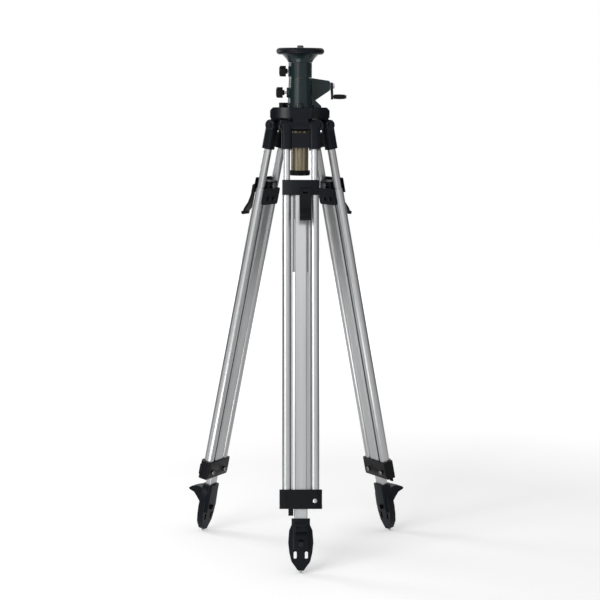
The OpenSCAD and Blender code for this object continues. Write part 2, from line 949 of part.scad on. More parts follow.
module channel() {
    color("#b4b8ba")
        difference() {
            along_leg(channel_start, channel_end)
                difference() {
                    channel_outline();
                    channel_hollows();
                }
            // Relief slots beside the middle of the outer face
            for (side = [-1, 1])
                translate([slot_deep, side > 0 ? slot_in : -box_w / 2 - eps, -slot_end])
                    cube([box_t, box_w / 2 - slot_in + eps, slot_end - channel_start + eps]);
            // Holes for the inner plate's rivets
            for (side = [-1, 1])
                translate([0, side * rivet_u, -rivet_at])
                    bar_x(rivet_d, -box_t, -tube_t / 2);
        }
}

module upper_clamp() {
    color("#26282b")
        difference() {
            union() {
                translate([-block_in, -block_w / 2, -channel_start])
                    cube([block_in + plate_out, block_w, clamp_rise - block_top]);
                along_leg(clamp_start, clamp_start + clamp_h)
                    polygon([[clamp_face, -clamp_w / 2], [clamp_face + plate_edge, -clamp_w / 2],
                             [plate_out, -clamp_w / 2 + plate_bevel], [plate_out, clamp_w / 2 - plate_bevel],
                             [clamp_face + plate_edge, clamp_w / 2], [clamp_face, clamp_w / 2]]);
                translate([-inner_out, 0, -(inner_start + inner_end) / 2])
                    rotate([0, 90, 0])
                        linear_extrude(inner_out - clamp_face)
                            rounded(inner_end - inner_start, inner_w, inner_round);
                // Lug that the lever turns on
                translate([0, lever_shift, 0])
                    facing_y(2 * lug_half) {
                        translate([lever_pin_out, -lever_pin_at])
                            circle(lug_round);
                        translate([plate_out - 1, -lever_pin_at - lug_round])
                            square([lever_pin_rise + 1, 2 * lug_round]);
                    }
            }
            translate([lever_pin_out, 0, -lever_pin_at])
                bar_y(lever_pin_d, lever_shift - lug_half - 1, lever_shift + lug_half + 1);
            translate([0, 0, -clamp_bolt_at])
                bar_x(clamp_bolt_d, -2 * block_in, clamp_face);
            for (side = [-1, 1])
                translate([0, side * rivet_u, -rivet_at])
                    bar_x(rivet_d, -2 * inner_out, 0);
        }
}

module lower_collar() {
    color("#26282b")
        difference() {
            along_leg(low_start, low_end)
                rounded(low_collar_t, low_collar_w, low_round);
            // Room for the lever's knuckle in the outer corner
            along_leg(low_start + low_knuckle_h, low_end - low_knuckle_h)
                translate([low_pin_out, low_pin_u])
                    circle(low_knuckle_r + loose_gap);
            // Open corner that the lever's arm swings round
            along_leg(low_start + low_knuckle_h, low_end - low_knuckle_h)
                translate([low_pin_out - low_swing, low_pin_u])
                    square(low_collar_t / 2);
            // Slanted lower edge toward the tripod's middle
            facing_y(2 * low_collar_w)
                polygon([[-low_collar_t / 2 - eps, -low_end + low_chamfer_h],
                         [-low_collar_t / 2 + low_chamfer, -low_end - eps],
                         [-low_collar_t / 2 - eps, -low_end - eps]]);
            along_leg(low_start - eps, channel_end)
                channel_outline();
            along_leg(channel_end - eps, low_end + eps)
                square([tube_t + 2 * tube_play, tube_w + 2 * tube_play], center = true);
            translate([low_pin_out, low_pin_u, -low_end - eps])
                cylinder(d = low_pin_d, h = low_collar_h + 2 * eps);
            for (side = [-1, 1])
                translate([0, side * low_rivet_u, -low_rivet_at])
                    bar_x(rivet_d, -low_collar_t, 0);
        }
}

// Fasteners that stay with the middle section
module clamp_screws() {
    color("#b9bcc0") {
        // Bolt of the upper clamp, with its nut on the inner side
        translate([0, 0, -clamp_bolt_at]) {
            bar_x(clamp_bolt_d, -block_in - clamp_bolt_head - 1, clamp_face);
            translate([-block_in - clamp_bolt_head, 0, 0])
                rotate([0, 90, 0])
                    cylinder(d = 1.6 * clamp_bolt_d, h = clamp_bolt_head, $fn = 6);
        }
        // Rivets of the inner plate
        for (side = [-1, 1])
            translate([0, side * rivet_u, -rivet_at]) {
                bar_x(rivet_d, -inner_out, -box_t / 2 + box_wall);
                bar_x(rivet_head_d, -inner_out - rivet_head_t, -inner_out);
            }
        // Screws in the collar's inner face
        for (side = [-1, 1])
            translate([0, side * low_rivet_u, -low_rivet_at]) {
                bar_x(rivet_d, -low_collar_t / 2, 0);
                bar_x(rivet_head_d, -low_collar_t / 2 - rivet_head_t, -low_collar_t / 2);
            }
        // Pins of the two levers
        translate([lever_pin_out, 0, -lever_pin_at])
            bar_y(lever_pin_d, lever_shift - lever_w / 2, lever_shift + lever_w / 2);
        translate([low_pin_out, low_pin_u, -low_end])
            cylinder(d = low_pin_d, h = low_collar_h);
    }
}

module upper_lever() {
    color("#1d1f21")
        translate([0, lever_shift, 0])
            difference() {
                union() {
                    translate([lever_pin_out, 0, -lever_pin_at])
                        bar_y(2 * lever_round, -lever_w / 2, lever_w / 2);
                    // Rolled tip
                    translate([lever_out - tip_roll_d / 2, 0, -lever_tip + tip_roll_d / 2])
                        bar_y(tip_roll_d, -lever_w / 2, lever_w / 2);
                    facing_y(lever_w)
                        polygon([[lever_pin_out - 4, -lever_pin_at],
                                 [lever_pin_out + lever_round - 0.5, -lever_pin_at],
                                 [lever_pin_out + 6, -lever_pin_at - outer_bends[0]],
                                 [lever_pin_out + 9.5, -lever_pin_at - outer_bends[1]],
                                 [lever_out - 5.5, -lever_tip + 16],
                                 [lever_out - 0.35 * tip_roll_d, -lever_tip + 0.5 * tip_roll_d],
                                 [lever_out - 0.65 * tip_roll_d, -lever_tip + 0.4 * tip_roll_d],
                                 [lever_out - 11.5, -lever_tip + 15],
                                 [lever_pin_out + 5, -lever_pin_at - inner_bends[1]],
                                 [lever_pin_out + 1, -lever_pin_at - inner_bends[0]]]);
                }
                translate([lever_pin_out - 2 * lever_round, -lug_half - loose_gap,
                           -lever_pin_at - lever_round - 2])
                    cube([4 * lever_round, 2 * (lug_half + loose_gap), 4 * lever_round]);
                translate([lever_pin_out, 0, -lever_pin_at])
                    bar_y(lever_pin_d + 2 * slide_gap, -lever_w, lever_w);
            }
}

module lower_lever() {
    lever_face = low_collar_t / 2 + loose_gap;
    plate_end = low_pin_u - 7.4;
    color("#1d1f21")
        difference() {
            union() {
                translate([low_pin_out, low_pin_u, -low_end + low_knuckle_h + loose_gap])
                    cylinder(r = low_knuckle_r, h = low_collar_h - 2 * (low_knuckle_h + loose_gap));
                // Arm that bends from the knuckle onto the collar's face
                along_leg(low_start + low_knuckle_h + loose_gap, low_end - low_knuckle_h - loose_gap)
                    polygon([[lever_face, plate_end - 1], [lever_face + low_lever_t, plate_end - 1],
                             [lever_face + 1.2, low_pin_u + 2.1], [low_pin_out, low_pin_u + low_knuckle_r],
                             [low_pin_out, low_pin_u], [lever_face, low_pin_u - 0.4]]);
                along_leg(low_start, low_end)
                    translate([lever_face, low_lever_in])
                        square([low_lever_t, plate_end - low_lever_in]);
                // Finger tab below the free end
                translate([lever_face + 0.4, tab_u, -low_end - tab_len])
                    cube([low_lever_t - 0.8, tab_w, tab_len + 1]);
            }
            translate([low_pin_out, low_pin_u, -low_end - eps])
                cylinder(d = low_pin_d + 2 * slide_gap, h = low_collar_h + 2 * eps);
        }
}

// Lower leg section

module inner_tube() {
    color("#b4b8ba")
        difference() {
            along_leg(tube_start, tube_end)
                rounded(tube_t, tube_w, tube_round);
            along_leg(tube_start - eps, tube_end + eps)
                square([tube_t - 2 * tube_wall, tube_w - 2 * tube_wall], center = true);
            translate([0, 0, -foot_bolt_at])
                bar_x(foot_bolt_d, -tube_t, tube_t);
        }
}

// Half outline of the spade: distance below its top, and half its width there
spade_half = [[0, foot_top_w / 2], [spade_shoulder, foot_w / 2 - 2], [spade_widest, foot_w / 2],
              [spade_knee, foot_w / 2 - 2.5], [spade_taper, foot_w / 2 - 7],
              [spade_end - spade_start, spade_tip_w / 2]];

module foot() {
    color("#26282b")
        difference() {
            union() {
                along_leg(foot_start, foot_start + foot_socket)
                    rounded(foot_top_t, foot_top_w, 6);
                facing_x(spade_t)
                    translate([0, -spade_start])
                        polygon(concat([for (p = spade_half) [-p[1], -p[0]]],
                                       [for (i = [len(spade_half) - 1 : -1 : 0])
                                           [spade_half[i][1], -spade_half[i][0]]]));
                // Step spur, hollowed underneath
                facing_y(spur_w)
                    translate([0, -foot_start - spur_drop])
                        polygon([[0, 2], [foot_top_t / 2, 2], [spur_reach - 20, 3], [spur_reach - 5, -4.5],
                                 [spur_reach, -9.5], [spur_reach - 3, -13], [spur_reach - 16, -15.5],
                                 [spur_reach - 26, -24], [foot_top_t / 2, -36], [0, -36]]);
            }
            along_leg(foot_start - eps, tube_end)
                rounded(tube_t, tube_w, tube_round);
            translate([0, 0, -foot_bolt_at])
                bar_x(foot_bolt_d, -foot_top_t, foot_top_t);
            for (side = [-1, 1])
                translate([-spade_t, side * (window_u + window_w / 2), -window_start - window_h / 2])
                    rotate([0, 90, 0])
                        linear_extrude(2 * spade_t)
                            rounded(window_h, window_w, window_round);
            translate([0, 0, -spade_end - eps])
                cylinder(d = spike_d, h = spade_end - tube_end - 8);
        }
}

module spike() {
    color("#8a8d90") {
        translate([0, 0, -foot_end + spike_cone])
            cylinder(d = spike_d, h = foot_end - spike_cone - tube_end - 8);
        translate([0, 0, -foot_end])
            cylinder(r1 = spike_tip_r, d2 = spike_d, h = spike_cone);
    }
}

module foot_bolt() {
    bolt_head = 5;
    color("#b9bcc0")
        translate([0, 0, -foot_bolt_at]) {
            bar_x(foot_bolt_d, -foot_top_t / 2 - bolt_head - 1, foot_top_t / 2);
            translate([foot_top_t / 2, 0, 0])
                rotate([0, 90, 0])
                    cylinder(d = 1.6 * foot_bolt_d, h = bolt_head, $fn = 6);
            translate([-foot_top_t / 2 - bolt_head, 0, 0])
                rotate([0, 90, 0])
                    cylinder(d = 1.6 * foot_bolt_d, h = bolt_head, $fn = 6);
        }
}

head();
hinge_bolts();
housing();
housing_screws();
column_bushes();
shaft_bushes();
level_cup();
level_vial();
column_tube();
rack();
column_collar();
column_cap();
mast_tube();
top_plate();
stud();
crank_shaft();
pinion();
crank_arm();
crank_grip();
knob(upper_knob_out, upper_knob_z);  // upper_knob
knob_screw(upper_knob_out, upper_knob_z, mast_d / 2);  // upper_knob_screw
knob(lower_knob_out, lower_knob_z);  // lower_knob
knob_screw(lower_knob_out, lower_knob_z, column_d / 2);  // lower_knob_screw
for (k = [0 : 2]) {
    leg_frame(k) yoke();
    leg_frame(k) rails();
    leg_frame(k) channel();
    leg_frame(k) upper_clamp();
    leg_frame(k) lower_collar();
    leg_frame(k) clamp_screws();
    leg_frame(k) upper_lever();
    leg_frame(k) lower_lever();
    leg_frame(k) inner_tube();
    leg_frame(k) foot();
    leg_frame(k) spike();
    leg_frame(k) foot_bolt();
}
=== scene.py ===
# Elevating tripod for a level or a laser: its looks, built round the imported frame.
# Metres, +Z up. The origin is the middle of the seat on the top plate, the front leg
# points to -Y and the crank to +X.
import math

import bmesh
import bpy
from mathutils import Matrix, Vector


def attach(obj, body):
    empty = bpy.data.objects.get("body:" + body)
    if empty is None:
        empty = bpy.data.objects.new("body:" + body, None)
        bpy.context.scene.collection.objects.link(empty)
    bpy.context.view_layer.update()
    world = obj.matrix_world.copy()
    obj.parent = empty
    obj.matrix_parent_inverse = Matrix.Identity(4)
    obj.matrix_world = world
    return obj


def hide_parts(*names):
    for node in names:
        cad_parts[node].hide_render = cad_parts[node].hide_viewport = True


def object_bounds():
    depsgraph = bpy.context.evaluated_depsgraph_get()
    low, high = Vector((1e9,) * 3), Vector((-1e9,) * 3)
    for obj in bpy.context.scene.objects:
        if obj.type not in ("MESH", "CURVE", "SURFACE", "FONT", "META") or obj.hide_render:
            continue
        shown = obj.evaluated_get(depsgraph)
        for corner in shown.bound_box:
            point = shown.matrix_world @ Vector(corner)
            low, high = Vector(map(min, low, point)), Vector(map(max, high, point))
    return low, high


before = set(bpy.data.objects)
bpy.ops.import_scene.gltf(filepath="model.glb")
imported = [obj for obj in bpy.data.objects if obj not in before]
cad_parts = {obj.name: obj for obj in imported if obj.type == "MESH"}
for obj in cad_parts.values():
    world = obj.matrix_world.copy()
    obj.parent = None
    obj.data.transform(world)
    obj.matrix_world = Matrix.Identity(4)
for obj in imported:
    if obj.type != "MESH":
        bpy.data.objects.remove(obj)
cad_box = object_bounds()

# Head casting. One sand casting of aluminium under satin black paint, with a face above each
# leg and a tongue below it for the hinge bolt. Its corners are rounded as the mould leaves
# them, and the paint is rubbed thin along them.
HEAD_ROUND = 0.0016
CORNER_ANGLE, CORNER_STEPS = math.radians(38.0), 2
JOIN_WITHIN, FLAT_WITHIN = 2e-6, math.radians(0.4)
PAINT_DARK, PAINT_LIGHT = 0.82, 1.18
PAINT_SWING, PEBBLE_DEPTH = 0.07, 0.0003
RUB_FROM, RUB_TO, BREAK_FROM, BREAK_TO = 0.02, 0.22, 0.42, 0.62


def feed(tree, socket, value):
    """Links another node's socket to an input, or sets the input to a plain value."""
    if isinstance(value, bpy.types.NodeSocket):
        tree.links.new(value, socket)
    else:
        socket.default_value = value


def add(tree, kind, *ordered, props=None, **named):
    """Adds a shader node. Its inputs go by place or by name."""
    node = tree.nodes.new("ShaderNode" + kind)
    for key, value in (props or {}).items():
        setattr(node, key, value)
    inputs = [(node.inputs[i], value) for i, value in enumerate(ordered) if value is not None]
    inputs += [(node.inputs[key.replace("_", " ")], value) for key, value in named.items()]
    for socket, value in inputs:
        feed(tree, socket, value)
    return node


def math_node(tree, operation, *values):
    """Adds a Math node and gives its result's socket."""
    return add(tree, "Math", *values, props={"operation": operation}).outputs[0]


def blend_colours(tree, factor, low, high):
    """Mixes two colours and gives the mixed colour's socket. Inputs 6 and 7 are the Mix node's colours."""
    node = add(tree, "Mix", props={"data_type": "RGBA"})
    for place, value in ((0, factor), (6, low), (7, high)):
        feed(tree, node.inputs[place], value)
    return node.outputs[2]


def spread(tree, value, low, high):
    """Maps a mask from 0..1 onto a range."""
    return add(tree, "MapRange", value, 0.0, 1.0, low, high).outputs[0]


def shader_group(name, inputs, outputs):
    """A node group with named inputs and number outputs. Gives the tree and its two end nodes."""
    tree = bpy.data.node_groups.new(name, "ShaderNodeTree")
    for label, value in inputs.items():
        kind = "NodeSocketVector" if isinstance(value, tuple) else "NodeSocketFloat"
        tree.interface.new_socket(label, in_out="INPUT", socket_type=kind).default_value = value
    for label in outputs:
        tree.interface.new_socket(label, in_out="OUTPUT", socket_type="NodeSocketFloat")
    return tree, tree.nodes.new("NodeGroupInput"), tree.nodes.new("NodeGroupOutput")


def place_group(tree, group, **values):
    """Places a node group in a tree, with values for its named inputs."""
    node = tree.nodes.new("ShaderNodeGroup")
    node.node_tree = group
    for key, value in values.items():
        feed(tree, node.inputs[key.replace("_", " ")], value)
    return node


def grain_group():
    """Fine pebble of paint or moulding, and a slow change of tone over the piece."""
    tree, given, out = shader_group("surface_grain", {"Grain size": 0.0012, "Patch size": 0.05},
                                    ["Height", "Tone"])
    place = add(tree, "TexCoord").outputs["Object"]
    fine = math_node(tree, "DIVIDE", 1.0, given.outputs["Grain size"])
    slow = math_node(tree, "DIVIDE", 1.0, given.outputs["Patch size"])
    pebble = add(tree, "TexNoise", Vector=place, Scale=fine, Detail=2.0, Roughness=0.55)
    patch = add(tree, "TexNoise", Vector=place, Scale=slow, Detail=3.0, Roughness=0.6)
    tree.links.new(pebble.outputs[0], out.inputs["Height"])
    tree.links.new(patch.outputs[0], out.inputs["Tone"])
    return tree


def rub_group():
    """Mask of the corners where hands and cases rub the finish, broken up by noise."""
    tree, given, out = shader_group("corner_rub", {"Width": 0.0015, "Breakup size": 0.006}, ["Mask"])
    rounded = add(tree, "Bevel", props={"samples": 6}, Radius=given.outputs["Width"])
    flat = add(tree, "NewGeometry")
    facing = add(tree, "VectorMath", rounded.outputs[0], flat.outputs["Normal"],
                 props={"operation": "DOT_PRODUCT"}).outputs["Value"]
    corner = add(tree, "MapRange", math_node(tree, "SUBTRACT", 1.0, facing), RUB_FROM, RUB_TO, 0.0, 1.0)
    size = math_node(tree, "DIVIDE", 1.0, given.outputs["Breakup size"])
    noise = add(tree, "TexNoise", Vector=add(tree, "TexCoord").outputs["Object"], Scale=size, Detail=4.0)
    broken = add(tree, "MapRange", noise.outputs[0], BREAK_FROM, BREAK_TO, 0.0, 1.0)
    tree.links.new(math_node(tree, "MULTIPLY", corner.outputs[0], broken.outputs[0]), out.inputs["Mask"])
    return tree


surface_grain = grain_group()
corner_rub = rub_group()


def finish_of(name):
    """An empty material with a Principled shader. Gives the material, its tree and the shader."""
    material = bpy.data.materials.new(name)
    material.use_nodes = True
    tree = material.node_tree
    return material, tree, tree.nodes["Principled BSDF"]


def shade_of(colour, share):
    """A colour made darker or lighter, with its fourth value."""
    return tuple(min(1.0, share * c) for c in colour) + (1.0,)


def roughen(tree, shader, tone, height, roughness, swing, strength, depth):
    """Lets a shader's gloss follow a tone mask, and its bumps a height."""
    tree.links.new(spread(tree, tone, roughness - swing, roughness + swing), shader.inputs["Roughness"])
    bump = add(tree, "Bump", Strength=strength, Distance=depth, Height=height)
    tree.links.new(bump.outputs[0], shader.inputs["Normal"])


def painted(name, colour, rubbed, roughness, grain=0.0011, bump=0.10, rub=0.35, gloss=0.5):
    """Paint or moulded plastic: a little uneven in tone and gloss, pebbled, and rubbed at corners."""
    material, tree, shader = finish_of(name)
    surface = place_group(tree, surface_grain, Grain_size=grain)
    corners = place_group(tree, corner_rub)
    tone = blend_colours(tree, surface.outputs["Tone"], shade_of(colour, PAINT_DARK),
                         shade_of(colour, PAINT_LIGHT))
    share = math_node(tree, "MULTIPLY", corners.outputs["Mask"], rub)
    tree.links.new(blend_colours(tree, share, tone, shade_of(rubbed, 1.0)), shader.inputs["Base Color"])
    roughen(tree, shader, surface.outputs["Tone"], surface.outputs["Height"], roughness, PAINT_SWING, bump,
            PEBBLE_DEPTH)
    shader.inputs["Specular IOR Level"].default_value = gloss
    return material


def smooth_to(mesh, angle):
    """Shades a mesh smooth, but for edges sharper than the angle."""
    mesh.shade_smooth()
    mesh.set_sharp_from_angle(angle=angle)


def softened(node, width, body, finish):
    """Stands for a CAD node with the same shape, its loose triangles joined and its corners rounded."""
    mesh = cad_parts[node].data.copy()
    shape = bmesh.new()
    shape.from_mesh(mesh)
    bmesh.ops.remove_doubles(shape, verts=shape.verts, dist=JOIN_WITHIN)
    bmesh.ops.dissolve_limit(shape, angle_limit=FLAT_WITHIN, verts=shape.verts, edges=shape.edges)
    shape.to_mesh(mesh)
    shape.free()
    mesh.materials.clear()
    mesh.materials.append(finish)
    smooth_to(mesh, CORNER_ANGLE)
    piece = bpy.data.objects.new(node + "_shape", mesh)
    bpy.context.scene.collection.objects.link(piece)
    bevel = piece.modifiers.new("rounded corners", "BEVEL")
    bevel.width = width
    bevel.segments = CORNER_STEPS
    bevel.limit_method = "ANGLE"
    bevel.angle_limit = CORNER_ANGLE
    bevel.harden_normals = True
    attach(piece, body)
    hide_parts(node)


black_paint = painted("black_paint", (0.0026, 0.0041, 0.0072), (0.020, 0.024, 0.030), 0.36, gloss=0.11)
softened("head", HEAD_ROUND, "frame", black_paint)

# Hinge bolts. Blackened steel, one through each yoke and tongue, with a hexagon head, a nut and
# a turned flange under each of them. They stay in the head when a leg swings.
AZIMUTHS = {"front": -90.0, "left": 150.0, "right": 30.0}
HINGE_R, HINGE_Z = 0.0545, -0.1755
LEG_LEAN = math.radians(12.0)
CHEEK_FACE = 0.0443
FLANGE_PROFILE = [(0.0052, 0.0), (0.0112, 0.0), (0.0115, 0.0006), (0.0109, 0.0015), (0.0088, 0.0026),
                  (0.0052, 0.0026)]
METAL_DARK, METAL_LIGHT, METAL_PATCH, METAL_SWING = 0.84, 1.12, 0.02, 0.08
SCRATCH_BUMP, SCRATCH_DEPTH = 0.08, 0.0002
SCRATCH_TURNS = ((0.0, 0.3, 0.9), (0.7, 0.0, -0.5), (-0.4, 0.9, 0.2))
SCRATCH_STRETCH = (1.0, 14.0, 14.0)
POLE_WITHIN, TURNED_ANGLE = 1e-7, math.radians(35.0)


def scratch_group():
    """Short fine scratches in all directions, as on plated or turned metal."""
    tree, given, out = shader_group("fine_scratches", {"Scratch size": 0.004}, ["Height"])
    place = add(tree, "TexCoord").outputs["Object"]
    size = math_node(tree, "DIVIDE", 1.0, given.outputs["Scratch size"])
    total = 0.0
    for turn in SCRATCH_TURNS:
        turned = add(tree, "Mapping", Vector=place, Rotation=turn, Scale=SCRATCH_STRETCH)
        lines = add(tree, "TexNoise", Vector=turned.outputs[0], Scale=size, Detail=2.0)
        total = math_node(tree, "ADD", lines.outputs[0], total)
    tree.links.new(total, out.inputs["Height"])
    return tree


fine_scratches = scratch_group()


def bare_metal(name, colour, roughness, scratch=0.004):
    """Bright or blackened metal with fine scratches and uneven gloss."""
    material, tree, shader = finish_of(name)
    surface = place_group(tree, surface_grain, Patch_size=METAL_PATCH)
    marks = place_group(tree, fine_scratches, Scratch_size=scratch)
    tone = blend_colours(tree, surface.outputs["Tone"], shade_of(colour, METAL_DARK),
                         shade_of(colour, METAL_LIGHT))
    tree.links.new(tone, shader.inputs["Base Color"])
    roughen(tree, shader, surface.outputs["Tone"], marks.outputs["Height"], roughness, METAL_SWING,
            SCRATCH_BUMP, SCRATCH_DEPTH)
    shader.inputs["Metallic"].default_value = 1.0
    return material


def dress(node, finish):
    """Gives a CAD node that keeps its own shape its finish."""
    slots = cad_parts[node].data.materials
    slots.clear()
    slots.append(finish)


def ring_at(shape, z, radii):
    """A ring of points about Z, one for each radius."""
    angles = [2 * math.pi * k / len(radii) for k in range(len(radii))]
    return [shape.verts.new((r * math.cos(a), r * math.sin(a), z)) for r, a in zip(radii, angles)]


def skin(shape, rings):
    """Four-sided faces from each ring to the next."""
    for low, high in zip(rings, rings[1:]):
        for k in range(len(low)):
            j = (k + 1) % len(low)
            shape.faces.new((low[k], low[j], high[j], high[k]))


def mesh_of(shape, name):
    """Ends a shape: a plain mesh with its faces outward."""
    bmesh.ops.recalc_face_normals(shape, faces=shape.faces)
    mesh = bpy.data.meshes.new(name)
    shape.to_mesh(mesh)
    shape.free()
    return mesh


def lathe(profile, turns=64, closed=True):
    """A mesh turned about Z from (radius, height) points; a closed profile joins its ends."""
    shape = bmesh.new()
    rings = [ring_at(shape, z, [r] * turns) for r, z in profile]
    skin(shape, rings + rings[:1] if closed else rings)
    bmesh.ops.remove_doubles(shape, verts=shape.verts, dist=POLE_WITHIN)
    mesh = mesh_of(shape, "turned")
    smooth_to(mesh, TURNED_ANGLE)
    return mesh


def piece_of(name, mesh, finish, body, place=Matrix.Identity(4)):
    """Makes a piece from a mesh, moved to its place, and lets it ride on its body."""
    mesh.transform(place)
    mesh.materials.clear()
    mesh.materials.append(finish)
    piece = bpy.data.objects.new(name, mesh)
    bpy.context.scene.collection.objects.link(piece)
    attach(piece, body)
    return piece


def shape_tree(name, inputs):
    """An empty geometry node tree with these inputs. Gives the tree and its two end nodes."""
    tree = bpy.data.node_groups.new(name, "GeometryNodeTree")
    for label, kind in inputs.items():
        tree.interface.new_socket(label, in_out="INPUT", socket_type="NodeSocket" + kind)
    tree.interface.new_socket("Geometry", in_out="OUTPUT", socket_type="NodeSocketGeometry")
    return tree, tree.nodes.new("NodeGroupInput"), tree.nodes.new("NodeGroupOutput")


def end_tree(tree, made, given, out):
    """Ends a geometry node tree: what it made becomes real and gets its finish."""
    nodes, link = tree.nodes, tree.links.new
    real, dressed = nodes.new("GeometryNodeRealizeInstances"), nodes.new("GeometryNodeSetMaterial")
    link(made, real.inputs[0])
    link(real.outputs[0], dressed.inputs["Geometry"])
    link(given.outputs["Finish"], dressed.inputs["Material"])
    link(dressed.outputs[0], out.inputs[0])


def row_tree():
    """Geometry nodes that repeat one shape, each a step and a turn further than the last."""
    tree, given, out = shape_tree("repeat_shape", {
        "Shape": "Object", "Count": "Int", "Start": "Vector", "Step": "Vector", "Turn": "Vector",
        "Finish": "Material"})
    nodes, link = tree.nodes, tree.links.new
    index = nodes.new("GeometryNodeInputIndex")
    moved, turned = nodes.new("ShaderNodeVectorMath"), nodes.new("ShaderNodeVectorMath")
    moved.operation, turned.operation = "MULTIPLY_ADD", "MULTIPLY"
    for node, label in ((moved, "Step"), (turned, "Turn")):
        link(index.outputs[0], node.inputs[0])
        link(given.outputs[label], node.inputs[1])
    link(given.outputs["Start"], moved.inputs[2])
    points, turn = nodes.new("GeometryNodePoints"), nodes.new("FunctionNodeEulerToRotation")
    link(given.outputs["Count"], points.inputs["Count"])
    link(moved.outputs[0], points.inputs["Position"])
    link(turned.outputs[0], turn.inputs[0])
    shape, copies = nodes.new("GeometryNodeObjectInfo"), nodes.new("GeometryNodeInstanceOnPoints")
    link(given.outputs["Shape"], shape.inputs["Object"])
    link(points.outputs[0], copies.inputs["Points"])
    link(shape.outputs["Geometry"], copies.inputs["Instance"])
    link(turn.outputs[0], copies.inputs["Rotation"])
    end_tree(tree, copies.outputs[0], given, out)
    return tree


repeat_shape = row_tree()


def plain_mesh(tree, values):
    """Runs a geometry node tree with these inputs and gives its result as a plain mesh."""
    holder = bpy.data.objects.new("node_result", bpy.data.meshes.new("node_result"))
    bpy.context.scene.collection.objects.link(holder)
    modifier = holder.modifiers.new("nodes", "NODES")
    modifier.node_group = tree
    for socket in tree.interface.items_tree:
        if socket.in_out == "INPUT" and socket.name in values:
            modifier[socket.identifier] = values[socket.name]
    graph = bpy.context.evaluated_depsgraph_get()
    mesh = bpy.data.meshes.new_from_object(holder.evaluated_get(graph))
    bpy.data.objects.remove(holder)
    return mesh


def repeated(mesh, count, finish, start=(0, 0, 0), step=(0, 0, 0), turn=(0, 0, 0)):
    """One mesh of a shape that is repeated along a line or round its own axis."""
    shape = bpy.data.objects.new("repeated_shape", mesh)
    bpy.context.scene.collection.objects.link(shape)
    made = plain_mesh(repeat_shape, {"Shape": shape, "Count": count, "Start": start, "Step": step,
                                     "Turn": turn, "Finish": finish})
    bpy.data.objects.remove(shape)
    smooth_to(made, TURNED_ANGLE)
    return made


def leg_place(side):
    """A leg's own frame: X outward, Y sideways, Z up along the leg, from the hinge."""
    return (Matrix.Rotation(math.radians(AZIMUTHS[side]), 4, "Z")
            @ Matrix.Translation((HINGE_R, 0.0, HINGE_Z)) @ Matrix.Rotation(-LEG_LEAN, 4, "Y"))


black_steel = bare_metal("black_steel", (0.018, 0.019, 0.022), 0.36)
dress("hinge_bolts", black_steel)
for side, azimuth in AZIMUTHS.items():
    flange = lathe(FLANGE_PROFILE)
    flange.transform(Matrix.Translation((0, CHEEK_FACE, 0)) @ Matrix.Rotation(-math.pi / 2, 4, "X"))
    pair = repeated(flange, 2, black_steel, turn=(0, 0, math.pi))
    upright = Matrix.Rotation(math.radians(azimuth), 4, "Z") @ Matrix.Translation((HINGE_R, 0, HINGE_Z))
    piece_of(side + "_hinge_flanges", pair, black_steel, "frame", upright)

# Circular level. A black moulded cup pressed into the head, holding a vial of yellow-green
# fluid with a bubble, under a clear lens with a printed ring.
LEVEL_PLACE = Matrix.Rotation(math.pi, 4, "Z") @ Matrix.Translation((0.041, 0.0, -0.1355))
CUP_ROUND = 0.0007
VIAL_R, VIAL_LOW, VIAL_HIGH, LENS_CROWN = 0.0054, 0.0051, 0.0104, 0.0006
BUBBLE_R, BUBBLE_EDGE, BUBBLE_CROWN = 0.0019, 0.0001, 0.0004
BUBBLE_OFF = (0.0006, 0.0004, 0.0)
RING_R, RING_W, RING_SUNK, RING_PROUD = 0.0029, 0.0004, 0.0002, 0.0003
DOME_STEPS = 8


def dome(radius, low, high, crown):
    """Profile of a solid of revolution with a flat foot and a crowned top."""
    angles = [0.5 * math.pi * k / DOME_STEPS for k in range(DOME_STEPS + 1)]
    top = [(radius * math.cos(a), high + crown * math.sin(a)) for a in angles]
    return [(0.0, low), (radius, low)] + top


def clear_fluid():
    """The vial's tinted fluid under its clear lens."""
    material, tree, shader = finish_of("vial_fluid")
    surface = place_group(tree, surface_grain, Patch_size=0.008)
    tint = blend_colours(tree, surface.outputs["Tone"], (0.40, 0.60, 0.05, 1.0), (0.62, 0.80, 0.12, 1.0))
    tree.links.new(tint, shader.inputs["Base Color"])
    tree.links.new(spread(tree, surface.outputs["Tone"], 0.03, 0.09), shader.inputs["Roughness"])
    shader.inputs["Transmission Weight"].default_value = 0.35
    shader.inputs["Coat Weight"].default_value = 0.6
    return material


black_plastic = painted("black_plastic", (0.0034, 0.0038, 0.0048), (0.016, 0.016, 0.018), 0.42, grain=0.0007,
                        bump=0.14, rub=0.25, gloss=0.10)
softened("level_cup", CUP_ROUND, "frame", black_plastic)
vial_fluid = clear_fluid()
lens = lathe(dome(VIAL_R, VIAL_LOW, VIAL_HIGH - LENS_CROWN, LENS_CROWN), closed=False)
vial = piece_of("level_vial_lens", lens, vial_fluid, "frame", LEVEL_PLACE)
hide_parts("level_vial")
air = painted("vial_air", (0.72, 0.80, 0.50), (0.8, 0.85, 0.6), 0.15, grain=0.002, bump=0.02)
bubble = lathe(dome(BUBBLE_R, VIAL_HIGH - BUBBLE_EDGE, VIAL_HIGH + BUBBLE_EDGE, BUBBLE_CROWN), closed=False)
piece_of("level_bubble", bubble, air, "frame", LEVEL_PLACE @ Matrix.Translation(BUBBLE_OFF))
ring = [(RING_R, VIAL_HIGH - RING_SUNK), (RING_R + RING_W, VIAL_HIGH - RING_SUNK),
        (RING_R + RING_W, VIAL_HIGH + RING_PROUD), (RING_R, VIAL_HIGH + RING_PROUD)]
piece_of("level_ring", lathe(ring), black_plastic, "frame", LEVEL_PLACE)

